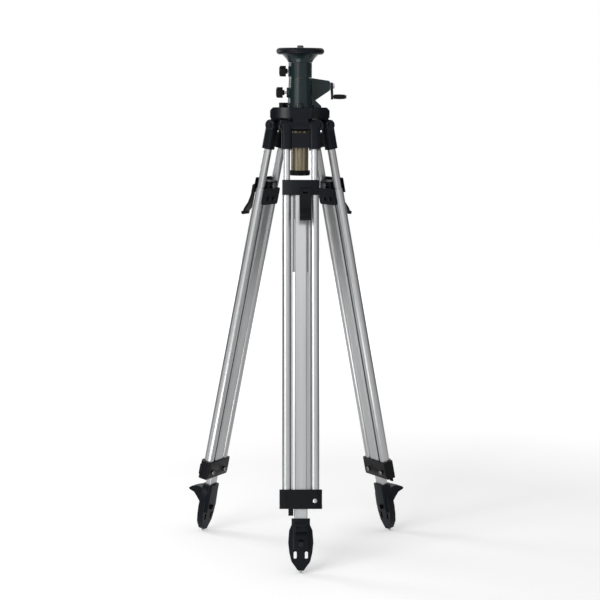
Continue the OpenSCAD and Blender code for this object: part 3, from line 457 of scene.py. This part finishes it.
# Column housing. A grey-green painted casting held to the head by three blackened screws. It
# carries the bushes that the column slides in, the gear case behind it and the crank's bracket.
HOUSING_ROUND = 0.0012
green_paint = painted("green_paint", (0.0046, 0.0138, 0.0152), (0.036, 0.052, 0.054), 0.25, gloss=0.26)
softened("housing", HOUSING_ROUND, "frame", green_paint)
dress("housing_screws", black_steel)

# Bushes. White nylon rings that the column slides in and turned brass ones for the crank shaft, pressed
# into the housing and the head.
nylon = painted("nylon", (0.66, 0.62, 0.53), (0.75, 0.72, 0.66), 0.50, grain=0.0006, rub=0.1)
dress("column_bushes", nylon)
turned_brass = bare_metal("turned_brass", (0.62, 0.46, 0.20), 0.32)
dress("shaft_bushes", turned_brass)

# Column and mast tubes. Drawn aluminium, anodised bronze, with fine lines along their length.
# The rack is a cut steel bar let into a flat behind the column.
CAP_ROUND = 0.0012
LINE_STRETCH, BAND_STRETCH, BAND_SCALE = (1.0, 1.0, 0.004), (1.0, 1.0, 0.02), 140.0
DRAWN_DARK, DRAWN_LIGHT, DRAWN_PATCH, DRAWN_SWING = 0.90, 1.07, 0.09, 0.06
PATCH_SHARE, LINE_BUMP, LINE_DEPTH = 0.25, 0.06, 0.0002


def drawn_group():
    """Fine lines along one direction, as a drawing die or an extrusion die leaves them."""
    tree, given, out = shader_group("drawn_lines", {"Along": (0.0, 0.0, 0.0), "Line width": 0.0005},
                                    ["Height", "Tone"])
    size = math_node(tree, "DIVIDE", 1.0, given.outputs["Line width"])
    lines = add(tree, "Mapping", Vector=given.outputs["Along"], Scale=LINE_STRETCH)
    streaks = add(tree, "TexNoise", Vector=lines.outputs[0], Scale=size, Detail=3.0, Roughness=0.6)
    bands = add(tree, "Mapping", Vector=given.outputs["Along"], Scale=BAND_STRETCH)
    tone = add(tree, "TexNoise", Vector=bands.outputs[0], Scale=BAND_SCALE, Detail=2.0)
    tree.links.new(streaks.outputs[0], out.inputs["Height"])
    tree.links.new(tone.outputs[0], out.inputs["Tone"])
    return tree


drawn_lines = drawn_group()


def drawn_metal(name, colour, roughness, turn=(0.0, 0.0, 0.0)):
    """Anodised drawn or extruded aluminium. The turn lays a tilted piece's length along Z."""
    material, tree, shader = finish_of(name)
    along = add(tree, "Mapping", Vector=add(tree, "TexCoord").outputs["Object"], Rotation=turn)
    lines = place_group(tree, drawn_lines, Along=along.outputs[0])
    surface = place_group(tree, surface_grain, Patch_size=DRAWN_PATCH)
    dark = shade_of(colour, DRAWN_DARK)
    streak = blend_colours(tree, lines.outputs["Tone"], dark, shade_of(colour, DRAWN_LIGHT))
    patch = spread(tree, surface.outputs["Tone"], 0.0, PATCH_SHARE)
    tree.links.new(blend_colours(tree, patch, streak, dark), shader.inputs["Base Color"])
    roughen(tree, shader, lines.outputs["Tone"], lines.outputs["Height"], roughness, DRAWN_SWING, LINE_BUMP,
            LINE_DEPTH)
    shader.inputs["Metallic"].default_value = 1.0
    return material


bronze_tube = drawn_metal("bronze_tube", (0.205, 0.175, 0.122), 0.30)
dress("column_tube", bronze_tube)
dress("mast_tube", bronze_tube)
gear_steel = bare_metal("gear_steel", (0.40, 0.41, 0.42), 0.34)
dress("rack", gear_steel)
softened("column_cap", CAP_ROUND, "column", black_plastic)

# Column collar. The grey-green casting on top of the column that the mast slides through. A
# boss on its left carries the upper clamp knob.
softened("column_collar", HOUSING_ROUND, "column", green_paint)

# Clamp knobs. Moulded black plastic with eight finger flutes, on plated steel screws. A brass
# threaded insert shows in the middle of each knob's outer face.
KNOB_FACES = {"upper": ("mast_clamp", -0.048, -0.05288), "lower": ("column_clamp", -0.055, -0.1015)}
INSERT_PROFILE = [(0.0, 0.0), (0.0030, 0.0), (0.0034, 0.0004), (0.0034, 0.0016), (0.0, 0.0016)]
RIM_PROFILE = [(0.0052, 0.0002), (0.0058, -0.0004), (0.0066, -0.0004), (0.0072, 0.0002), (0.0072, 0.0012),
               (0.0052, 0.0012)]
KNOB_ROUND, INSERT_SUNK = 0.0006, 0.0003
INSERT_STEPS, KNOB_RIM_STEPS = 32, 48
for which, (body, face, height) in KNOB_FACES.items():
    softened(which + "_knob", KNOB_ROUND, body, black_plastic)
    dress(which + "_knob_screw", gear_steel)
    outward = Matrix.Translation((face, 0, height)) @ Matrix.Rotation(math.pi / 2, 4, "Y")
    piece_of(which + "_knob_insert", lathe(INSERT_PROFILE, INSERT_STEPS, closed=False), turned_brass, body,
             outward @ Matrix.Translation((0, 0, -INSERT_SUNK)))
    piece_of(which + "_knob_rim", lathe(RIM_PROFILE, KNOB_RIM_STEPS), black_plastic, body,
             outward)

# Top plate. One turned casting on the mast: a round seat for the instrument with a half-round rim,
# painted black, over a flare in the housing's grey-green. The mast is pressed in from below.
PLATE_R, PLATE_T = 0.055, 0.015
FLARE_TOP_R, FLARE_END_R, FLARE_Z = 0.042, 0.028, -0.033
FLARE_CURVE, FLARE_STEPS, FLARE_EDGE = 1.45, 8, 0.0008
MAST_R, MAST_TOP = 0.01675, -0.0175
RIM_ROUND, RIM_STEPS = 0.0073, 10
GROOVE_R, GROOVE_TOP, GROOVE_FLOOR, GROOVE_DEEP = 0.043, 0.0012, 0.0007, 0.0005
STUD_HOLE_R = 0.0096
TURNED_STEPS = 128


def corner_arc(x, z, radius, start):
    """Points of a quarter round about a centre, from a start angle in degrees, counterclockwise."""
    angles = [math.radians(start + 90.0 * k / RIM_STEPS) for k in range(RIM_STEPS + 1)]
    return [(x + radius * math.cos(a), z + radius * math.sin(a)) for a in angles]


flare_profile = [(MAST_R, FLARE_Z), (FLARE_END_R - FLARE_EDGE, FLARE_Z), (FLARE_END_R, FLARE_Z + FLARE_EDGE)]
flare_profile += [(FLARE_END_R + (FLARE_TOP_R - FLARE_END_R) * (k / FLARE_STEPS) ** FLARE_CURVE,
                   FLARE_Z + (-PLATE_T - FLARE_Z) * k / FLARE_STEPS) for k in range(1, FLARE_STEPS + 1)]
flare_profile += [(MAST_R, -PLATE_T)]
seat_profile = [(STUD_HOLE_R, MAST_TOP), (MAST_R, MAST_TOP), (MAST_R, -PLATE_T)]
seat_profile += corner_arc(PLATE_R - RIM_ROUND, -PLATE_T + RIM_ROUND, RIM_ROUND, -90)
seat_profile += corner_arc(PLATE_R - RIM_ROUND, -RIM_ROUND, RIM_ROUND, 0)
seat_profile += [(GROOVE_R + GROOVE_TOP, 0.0), (GROOVE_R + GROOVE_FLOOR, -GROOVE_DEEP),
                 (GROOVE_R - GROOVE_FLOOR, -GROOVE_DEEP), (GROOVE_R - GROOVE_TOP, 0.0), (STUD_HOLE_R, 0.0)]
seat = piece_of("top_plate_seat", lathe(seat_profile, TURNED_STEPS), black_paint, "mast")
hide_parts("top_plate")
piece_of("top_plate_flare", lathe(flare_profile, TURNED_STEPS), green_paint, "mast")

# Instrument stud. A low dark steel stud with a 5/8 inch thread of eleven turns to the inch, cut as
# one helical ridge on a plain core. Its flange is let into the plate, level with the seat.
STUD_R, THREAD_PITCH, THREAD_DEPTH = 0.0079375, 0.002309, 0.00125
THREAD_LOW, THREAD_HIGH, STUD_TOP = 0.0011, 0.0046, 0.006
TURN_STEPS, RIDGE_SIDES = 40, 3
FLANGE_R, FLANGE_EDGE, STUD_EDGE = 0.0094, 0.0004, 0.0008
ROOT_SHARE = 1.15
CORE_R = STUD_R - ROOT_SHARE * THREAD_DEPTH


def thread_tree():
    """Geometry nodes that sweep a three-sided ridge along a helix."""
    tree, given, out = shape_tree("thread_ridge", {
        "Radius": "Float", "Turns": "Float", "Height": "Float", "Ridge": "Float", "Finish": "Material"})
    nodes, link = tree.nodes, tree.links.new
    helix, ridge = nodes.new("GeometryNodeCurveSpiral"), nodes.new("GeometryNodeCurvePrimitiveCircle")
    helix.inputs["Resolution"].default_value = TURN_STEPS
    ridge.inputs["Resolution"].default_value = RIDGE_SIDES
    for source, target in (("Radius", "Start Radius"), ("Radius", "End Radius"), ("Turns", "Rotations"),
                           ("Height", "Height")):
        link(given.outputs[source], helix.inputs[target])
    link(given.outputs["Ridge"], ridge.inputs["Radius"])
    upright, swept = nodes.new("GeometryNodeSetCurveNormal"), nodes.new("GeometryNodeCurveToMesh")
    upright.mode = "Z_UP"
    swept.inputs["Fill Caps"].default_value = True
    link(helix.outputs[0], upright.inputs["Curve"])
    link(upright.outputs[0], swept.inputs["Curve"])
    link(ridge.outputs[0], swept.inputs["Profile Curve"])
    end_tree(tree, swept.outputs[0], given, out)
    return tree


stud_steel = bare_metal("stud_steel", (0.17, 0.17, 0.175), 0.36, scratch=0.002)
thread = plain_mesh(thread_tree(), {
    "Radius": STUD_R - THREAD_DEPTH, "Turns": (THREAD_HIGH - THREAD_LOW) / THREAD_PITCH,
    "Height": THREAD_HIGH - THREAD_LOW, "Ridge": THREAD_DEPTH, "Finish": stud_steel})
piece_of("stud_thread", thread, stud_steel, "mast", Matrix.Translation((0, 0, THREAD_LOW)))
stud_profile = [(0.0, MAST_TOP), (FLANGE_R, MAST_TOP), (FLANGE_R, -FLANGE_EDGE),
                (FLANGE_R - FLANGE_EDGE, 0.0), (CORE_R, 0.0), (CORE_R, STUD_TOP - STUD_EDGE),
                (CORE_R - STUD_EDGE, STUD_TOP), (0.0, STUD_TOP)]
stud = piece_of("stud_core", lathe(stud_profile, closed=False), stud_steel, "mast")
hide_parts("stud")

# Crank. A steel shaft with a cut pinion runs in the bracket, a blackened steel arm is fixed to its
# end with a plated nut, and a black plastic grip with raised rings turns on the arm's pin.
SHAFT_Y, SHAFT_Z = 0.0317125, -0.086
ARM_FACE = 0.0765
CRANK_TURN, CRANK_REACH = math.radians(-52.0), 0.040
ARM_ROUND = 0.0007
NUT_R, NUT_H, NUT_STEPS, NUT_ANGLE = 0.0070, 0.0045, 48, math.radians(28.0)
NUT_FACE, NUT_FLAT, NUT_EDGE = 0.86, 0.866, 0.08
GRIP_START, GRIP_LEN, GRIP_R, PIN_HOLE_R = 0.0775, 0.026, 0.006, 0.00325
GRIP_NECK, GRIP_WAIST, GRIP_BELLY, GRIP_END = 0.0006, 0.0009, 0.0003, 0.0016
GRIP_EDGE, WAIST_AT = 0.0010, 0.0040
GRIP_RINGS, RINGS_FROM, RINGS_STEP = 5, 0.0055, 0.0035
RING_DEEP, RING_SHOULDER, RING_FOOT, RING_HALF = 0.0012, 0.0003, 0.0007, 0.0006
GRIP_STEPS = 48
plated_steel = bare_metal("plated_steel", (0.60, 0.61, 0.62), 0.30)
dress("crank_shaft", plated_steel)
dress("pinion", gear_steel)
softened("crank_arm", ARM_ROUND, "crank", black_steel)


def hexagon_nut(radius, height):
    """A six-sided nut along Z with its corners turned off and a closed end."""
    shape = bmesh.new()
    rows = ((0.0, 0.0), (radius * NUT_FACE, 0.0), (radius, NUT_EDGE * height),
            (radius, (1 - NUT_EDGE) * height), (radius * NUT_FACE, height), (0.0, height))
    sectors = [(2 * math.pi * k / NUT_STEPS + math.pi / 6) % (math.pi / 3) - math.pi / 6
               for k in range(NUT_STEPS)]
    flats = [NUT_FLAT * radius / math.cos(sector) for sector in sectors]
    skin(shape, [ring_at(shape, z, [min(limit, flat) for flat in flats]) for limit, z in rows])
    bmesh.ops.remove_doubles(shape, verts=shape.verts, dist=POLE_WITHIN)
    mesh = mesh_of(shape, "nut")
    smooth_to(mesh, NUT_ANGLE)
    return mesh


shaft_end = Matrix.Translation((ARM_FACE, SHAFT_Y, SHAFT_Z)) @ Matrix.Rotation(math.pi / 2, 4, "Y")
piece_of("crank_nut", hexagon_nut(NUT_R, NUT_H), plated_steel, "crank", shaft_end)
grip_place = (Matrix.Translation((GRIP_START, SHAFT_Y, SHAFT_Z)) @ Matrix.Rotation(CRANK_TURN, 4, "X")
              @ Matrix.Translation((0, 0, -CRANK_REACH)) @ Matrix.Rotation(math.pi / 2, 4, "Y"))
half_grip = [(PIN_HOLE_R, 0.0), (GRIP_R - GRIP_END, 0.0), (GRIP_R - GRIP_NECK, GRIP_EDGE),
             (GRIP_R - GRIP_WAIST, WAIST_AT)]
grip_profile = half_grip + [(GRIP_R - GRIP_BELLY, 0.5 * GRIP_LEN)]
grip_profile += [(r, GRIP_LEN - z) for r, z in reversed(half_grip)]
grip = piece_of("crank_grip_body", lathe(grip_profile, GRIP_STEPS), black_plastic, "crank_handle",
                grip_place)
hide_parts("crank_grip")
ring_profile = [(GRIP_R - RING_DEEP, -RING_FOOT), (GRIP_R - RING_SHOULDER, -RING_HALF), (GRIP_R, 0.0),
                (GRIP_R - RING_SHOULDER, RING_HALF), (GRIP_R - RING_DEEP, RING_FOOT)]
rings = repeated(lathe(ring_profile, GRIP_STEPS), GRIP_RINGS, black_plastic, start=(0, 0, RINGS_FROM),
                 step=(0, 0, RINGS_STEP))
piece_of("crank_grip_rings", rings, black_plastic, "crank_handle", grip_place)

# Yokes. One aluminium casting on top of each leg under the head's satin black: two cheeks beside
# the tongue, a socket for each rail and a web between them.
YOKE_ROUND = 0.0014
for side in AZIMUTHS:
    softened(side + "_yoke", YOKE_ROUND, side + "_leg_upper", black_paint)

# Leg tubes. Satin anodised aluminium: two drawn rails, the extruded channel that slides on them and
# the drawn inner tube inside the channel. Fine lines run along each leg, so each has its own finish.
LEG_TUBES = ("rails", "channel", "inner_tube")
for side in AZIMUTHS:
    along_leg = leg_place(side).to_3x3().transposed().to_euler()
    satin = drawn_metal(side + "_satin_aluminium", (0.39, 0.395, 0.40), 0.32, turn=along_leg)
    for tube in LEG_TUBES:
        dress(side + "_" + tube, satin)

# Slot shade. Flat grey strips laid in the slots beside the middle of each channel's outer face, from
# under the upper clamp down to the slots' ends, darken the slots: painted shade of the slot floors.
SLOT_FLOOR, STRIP_U, STRIP_W, STRIP_T, STRIP_SUNK = 0.0050, 0.0155, 0.0047, 0.0012, 0.0002
STRIP_FROM, STRIP_TO = 0.1520, 0.3355


def block(low, high):
    """A box between two corners."""
    shape = bmesh.new()
    bmesh.ops.create_cube(shape, size=1.0)
    middle = [0.5 * (a + b) for a, b in zip(low, high)]
    bmesh.ops.scale(shape, vec=[b - a for a, b in zip(low, high)], verts=shape.verts)
    bmesh.ops.translate(shape, vec=middle, verts=shape.verts)
    return mesh_of(shape, "block")


# Painted shade: the strips' dull grey darkens the slots as their shade would.
slot_shade_grey = painted("slot_shade_grey", (0.20, 0.20, 0.195), (0.26, 0.26, 0.25), 0.5, grain=0.0006, rub=0.1,
                     gloss=0.2)
# Two painted-shade strips for each leg's slots.
for side in AZIMUTHS:
    strip = block((SLOT_FLOOR - STRIP_SUNK, -STRIP_U - 0.5 * STRIP_W, -STRIP_TO),
                  (SLOT_FLOOR + STRIP_T, -STRIP_U + 0.5 * STRIP_W, -STRIP_FROM))
    strips = repeated(strip, 2, slot_shade_grey, step=(0, 2 * STRIP_U, 0))
    piece_of(side + "_wear_strips", strips, slot_shade_grey, side + "_leg_middle",
             leg_place(side))

# Upper clamps. A black casting round the rails on top of each channel, with an outer plate, a block
# between the rails and a riveted inner plate. Its pins and rivets are blackened, and a dull steel nut
# closes the bolt on the block's inner face.
BLOCK_FACE, CLAMP_BOLT_S = -0.01225, 0.1415
CLAMP_ROUND, CLAMP_NUT_R, CLAMP_NUT_H = 0.0010, 0.0067, 0.0064
for side in AZIMUTHS:
    softened(side + "_upper_clamp", CLAMP_ROUND, side + "_leg_middle", black_paint)
    dress(side + "_clamp_screws", black_steel)
    inward = (leg_place(side) @ Matrix.Translation((BLOCK_FACE, 0.0, -CLAMP_BOLT_S))
              @ Matrix.Rotation(-math.pi / 2, 4, "Y"))
    piece_of(side + "_clamp_nut", hexagon_nut(CLAMP_NUT_R, CLAMP_NUT_H), stud_steel, side + "_leg_middle",
             inward)

# Upper levers. Moulded black plastic on a steel pin, flipped out to let the rails slide. Raised
# ribs near the tip give the fingers hold.
LEVER_SHIFT, LEVER_ROUND = 0.010, 0.0009
RIB_COUNT = 5
RIB_FROM, RIB_TO = Vector((0.0325, LEVER_SHIFT, -0.1940)), Vector((0.0380, LEVER_SHIFT, -0.2061))
RIB_LEN, RIB_HIGH, RIB_THICK = 0.019, 0.0010, 0.0015
RIB_SUNK, RIB_STEPS = 0.0006, 8


def rounded_bar(length, width, height):
    """A bar along Y with a half-round back toward +X and a foot sunk below X = 0."""
    shape = bmesh.new()
    angles = [math.pi * k / RIB_STEPS for k in range(RIB_STEPS + 1)]
    arc = [(height * math.sin(a), -0.5 * width * math.cos(a)) for a in angles]
    section = [(-RIB_SUNK, -0.5 * width)] + arc + [(-RIB_SUNK, 0.5 * width)]
    ends = [[shape.verts.new((x, y, z)) for x, z in section] for y in (-0.5 * length, 0.5 * length)]
    skin(shape, ends)
    for end in ends:
        shape.faces.new(end)
    return mesh_of(shape, "rounded_bar")


rib_step = (RIB_TO - RIB_FROM) / (RIB_COUNT - 1)
rib_lean = Matrix.Rotation(-math.atan2(rib_step.x, -rib_step.z), 4, "Y")
for side in AZIMUTHS:
    body = side + "_upper_latch"
    softened(side + "_upper_lever", LEVER_ROUND, body, black_plastic)
    rib = rounded_bar(RIB_LEN, RIB_THICK, RIB_HIGH)
    rib.transform(rib_lean)
    ribs = repeated(rib, RIB_COUNT, black_plastic, start=tuple(RIB_FROM), step=tuple(rib_step))
    piece_of(side + "_lever_ribs", ribs, black_plastic, body, leg_place(side))

# Lower collars and their levers. Black mouldings at the foot of each channel, with a flat lever on
# the outer face that flips sideways. A button-head bolt sits in the lever's plate, and two more such
# heads hold the collar's inner face.
BOLT_U, BOLT_S, LEVER_FACE = 0.0310, 0.8480, 0.0170
SCREW_U, SCREW_S, SCREW_FACE = 0.0270, 0.8495, -0.0152
BUTTON_PROFILE = [(0.0, -0.0008), (0.0056, -0.0008), (0.0056, 0.0004), (0.0053, 0.0014), (0.0045, 0.0024),
                  (0.0033, 0.0031), (0.0022, 0.0033), (0.0021, 0.0020), (0.0, 0.0020)]
BUTTON_STEPS = 48
COLLAR_ROUND, FLIP_ROUND = 0.0010, 0.0007
for side in AZIMUTHS:
    softened(side + "_lower_collar", COLLAR_ROUND, side + "_leg_middle", black_plastic)
    softened(side + "_lower_lever", FLIP_ROUND, side + "_lower_latch", black_plastic)
    outward = (leg_place(side) @ Matrix.Translation((LEVER_FACE, BOLT_U, -BOLT_S))
               @ Matrix.Rotation(math.pi / 2, 4, "Y"))
    button = lathe(BUTTON_PROFILE, BUTTON_STEPS, closed=False)
    piece_of(side + "_lever_bolt", button, gear_steel, side + "_lower_latch", outward)
    inward = (leg_place(side) @ Matrix.Translation((SCREW_FACE, -SCREW_U, -SCREW_S))
              @ Matrix.Rotation(-math.pi / 2, 4, "Y"))
    button = lathe(BUTTON_PROFILE, BUTTON_STEPS, closed=False)
    heads = repeated(button, 2, stud_steel, step=(0, 2 * SCREW_U, 0))
    piece_of(side + "_collar_screws", heads, stud_steel, side + "_leg_middle", inward)

# Feet. A black cast shoe on each inner tube with a spade, two openings and a spur to step on, held
# by a blackened through bolt. A hard steel spike is pressed into its point.
FOOT_ROUND = 0.0012
for side in AZIMUTHS:
    softened(side + "_foot", FOOT_ROUND, side + "_leg_lower", black_paint)
    dress(side + "_foot_bolt", black_steel)
    dress(side + "_spike", gear_steel)

# Stage. A plain pale floor that fades into a white surround, a soft key light from the left and front,
# two weak lamps beside the camera and one behind on the left. Three glowing cards, which only reflections
# see, are painted reflections: two grey ones paint shade on the tubes' sides, and a bright one paints a
# highlight on what faces down, such as the flare.
FLOOR_Z = cad_box[0][2]
FLOOR_SIZE, FLOOR_LIFT, FLOOR_GLOW, GLOW_FROM, GLOW_TO = 14.0, 0.20, 0.75, 0.9, 3.2
FLOOR_DARK, FLOOR_LIGHT = (0.88, 0.88, 0.88, 1.0), (0.91, 0.91, 0.91, 1.0)
FLOOR_PATCH, FLOOR_GRAIN, FLOOR_ROUGH, CARD_PATCH = 0.6, 0.004, 0.9, 0.8
LAMPS = {"key_light": (80.0, 2.4, Vector((-2.3, -3.1, 1.3))),
         "front_light": (4.0, 0.5, Vector((0.2, -4.0, 1.25))),
         "level_light": (8.0, 0.8, Vector((-1.5, -3.8, 0.0))),
         "rim_light": (5.5, 0.5, Vector((-1.35, 0.78, 0.0)))}
LIGHT_AIM = Vector((0.0, 0.0, -0.55))
SURROUND = 0.60
# Grey cards (azimuth, distance, width, height) that glow at CARD_TONE for reflections alone: painted shade
# on the tubes' sides.
CARDS = {"left_card": (164.0, 1.8, 3.2, 2.0), "right_card": (18.0, 1.8, 3.4, 2.2)}
CARD_TONE, CARD_LIFT, CARD_SWING = 0.20, 0.01, 0.1
WHITE, BLACK = (1.0, 1.0, 1.0, 1.0), (0.0, 0.0, 0.0, 1.0)
# A bright card on the floor that glows at BOUNCE_TONE for reflections alone: a painted highlight on the
# flare and what faces down.
BOUNCE_TONE, BOUNCE_HALF, BOUNCE_AT = 6.0, 0.30, Vector((-0.36, -0.62, FLOOR_Z + 0.005))


def flat_sheet(name, corners, finish, reflected_only=False):
    """One four-sided face for the stage, for the camera or for reflections alone."""
    mesh = bpy.data.meshes.new(name)
    mesh.from_pydata(corners, [], [(0, 1, 2, 3)])
    mesh.materials.append(finish)
    sheet = bpy.data.objects.new(name, mesh)
    bpy.context.scene.collection.objects.link(sheet)
    if reflected_only:
        sheet.visible_camera = sheet.visible_diffuse = sheet.visible_shadow = False


def lying_square(middle, half):
    """Corners of a level square."""
    return [middle + Vector((x * half, y * half, 0.0)) for x, y in ((-1, -1), (1, -1), (1, 1), (-1, 1))]


def background_rays(tree):
    """1 for rays that see the background itself: the camera's, reflected and refracted ones."""
    rays = add(tree, "LightPath")
    mirrored = math_node(tree, "MAXIMUM", rays.outputs["Is Glossy Ray"], rays.outputs["Is Transmission Ray"])
    return math_node(tree, "MAXIMUM", rays.outputs["Is Camera Ray"], mirrored)


def floor_finish():
    """Matt white that glows by itself further out, so that its far edge is lost in the surround."""
    material, tree, shader = finish_of("floor_white")
    surface = place_group(tree, surface_grain, Patch_size=FLOOR_PATCH, Grain_size=FLOOR_GRAIN)
    tone = blend_colours(tree, surface.outputs["Tone"], FLOOR_DARK, FLOOR_LIGHT)
    tree.links.new(tone, shader.inputs["Base Color"])
    place = add(tree, "NewGeometry").outputs["Position"]
    flat = add(tree, "VectorMath", place, (1.0, 1.0, 0.0), props={"operation": "MULTIPLY"})
    far = add(tree, "VectorMath", flat.outputs["Vector"], props={"operation": "LENGTH"})
    glow = add(tree, "MapRange", far.outputs["Value"], GLOW_FROM, GLOW_TO, FLOOR_LIFT, FLOOR_GLOW)
    shine = math_node(tree, "MULTIPLY", background_rays(tree), glow.outputs[0])
    tree.links.new(shine, shader.inputs["Emission Strength"])
    shader.inputs["Emission Color"].default_value = WHITE
    shader.inputs["Roughness"].default_value = FLOOR_ROUGH
    shader.inputs["Specular IOR Level"].default_value = 0.0
    return material


def card_finish(name, tone):
    """A card that glows evenly at one tone. Only reflections see it, so it paints a reflection."""
    material, tree, shader = finish_of(name)
    surface = place_group(tree, surface_grain, Patch_size=CARD_PATCH)
    shine = spread(tree, surface.outputs["Tone"], (1 - CARD_SWING) * tone, (1 + CARD_SWING) * tone)
    tree.links.new(shine, shader.inputs["Emission Strength"])
    shader.inputs["Emission Color"].default_value = WHITE
    shader.inputs["Base Color"].default_value = BLACK
    return material


def soft_lamp(name, power, size, place):
    """A square lamp that looks at the tripod's middle."""
    lamp = bpy.data.lights.new(name, "AREA")
    lamp.energy = power
    lamp.size = size
    holder = bpy.data.objects.new(name, lamp)
    bpy.context.scene.collection.objects.link(holder)
    holder.location = place
    holder.rotation_euler = (LIGHT_AIM - place).to_track_quat("-Z", "Y").to_euler()


def white_surround():
    """White where the camera and reflections look, and weaker as a light on everything else."""
    world = bpy.data.worlds.new("surround")
    bpy.context.scene.world = world
    world.use_nodes = True
    tree = world.node_tree
    background = tree.nodes["Background"]
    tree.links.new(spread(tree, background_rays(tree), SURROUND, 1.0), background.inputs["Strength"])
    background.inputs["Color"].default_value = WHITE


flat_sheet("floor", lying_square(Vector((0.0, 0.0, FLOOR_Z)), 0.5 * FLOOR_SIZE), floor_finish())
# Painted reflections: the bright card and the two grey cards glow, and only reflections see them.
flat_sheet("bounce_card", lying_square(BOUNCE_AT, BOUNCE_HALF), card_finish("painted_highlight_card", BOUNCE_TONE), True)
painted_shade_card = card_finish("painted_shade_card", CARD_TONE)
for name, (azimuth, far, wide, high) in CARDS.items():
    outward = Vector((math.cos(math.radians(azimuth)), math.sin(math.radians(azimuth)), 0.0))
    middle = far * outward + Vector((0.0, 0.0, FLOOR_Z + CARD_LIFT))
    across = Vector((outward.y, -outward.x, 0.0)) * 0.5 * wide
    rise = Vector((0.0, 0.0, high))
    flat_sheet(name, [middle - across, middle + across, middle + across + rise, middle - across + rise],
               painted_shade_card, True)
for name, (power, size, place) in LAMPS.items():
    soft_lamp(name, power, size, place)
white_surround()

# Camera. Where the photo was taken from: about four metres in front of the tripod, a little below
# the plate's height and looking slightly down, with a long lens.
CAMERA_FAR, CAMERA_HIGH = 4.1935, 1.0764
PITCH, PAN, ROLL, YAW = (math.radians(a) for a in (6.745, 0.033, -0.319, 1.597))
LENS_MM, SENSOR_MM, SEES_TO = 108.783, 36.0, 60.0


def fitted_camera():
    """A camera at the photo's place, turned by its pan, pitch and roll."""
    camera = bpy.data.cameras.new("camera")
    camera.lens, camera.sensor_width = LENS_MM, SENSOR_MM
    camera.clip_end = SEES_TO
    holder = bpy.data.objects.new("camera", camera)
    bpy.context.scene.collection.objects.link(holder)
    right, level = Vector((math.cos(PAN), -math.sin(PAN), 0)), Vector((math.sin(PAN), math.cos(PAN), 0))
    upright = Vector((0, 0, 1))
    forward = level * math.cos(PITCH) - upright * math.sin(PITCH)
    up = level * math.sin(PITCH) + upright * math.cos(PITCH)
    rolled = (right * math.cos(ROLL) - up * math.sin(ROLL), right * math.sin(ROLL) + up * math.cos(ROLL),
              -forward)
    turn = Matrix.Rotation(-YAW, 4, "Z")
    axes = Matrix([(*axis, 0.0) for axis in rolled] + [(0, 0, 0, 1)]).transposed()
    holder.matrix_world = turn @ Matrix.Translation((0, -CAMERA_FAR, CAMERA_HIGH + FLOOR_Z)) @ axes
    bpy.context.scene.camera = holder


fitted_camera()
bpy.context.scene.view_settings.view_transform = "Standard"
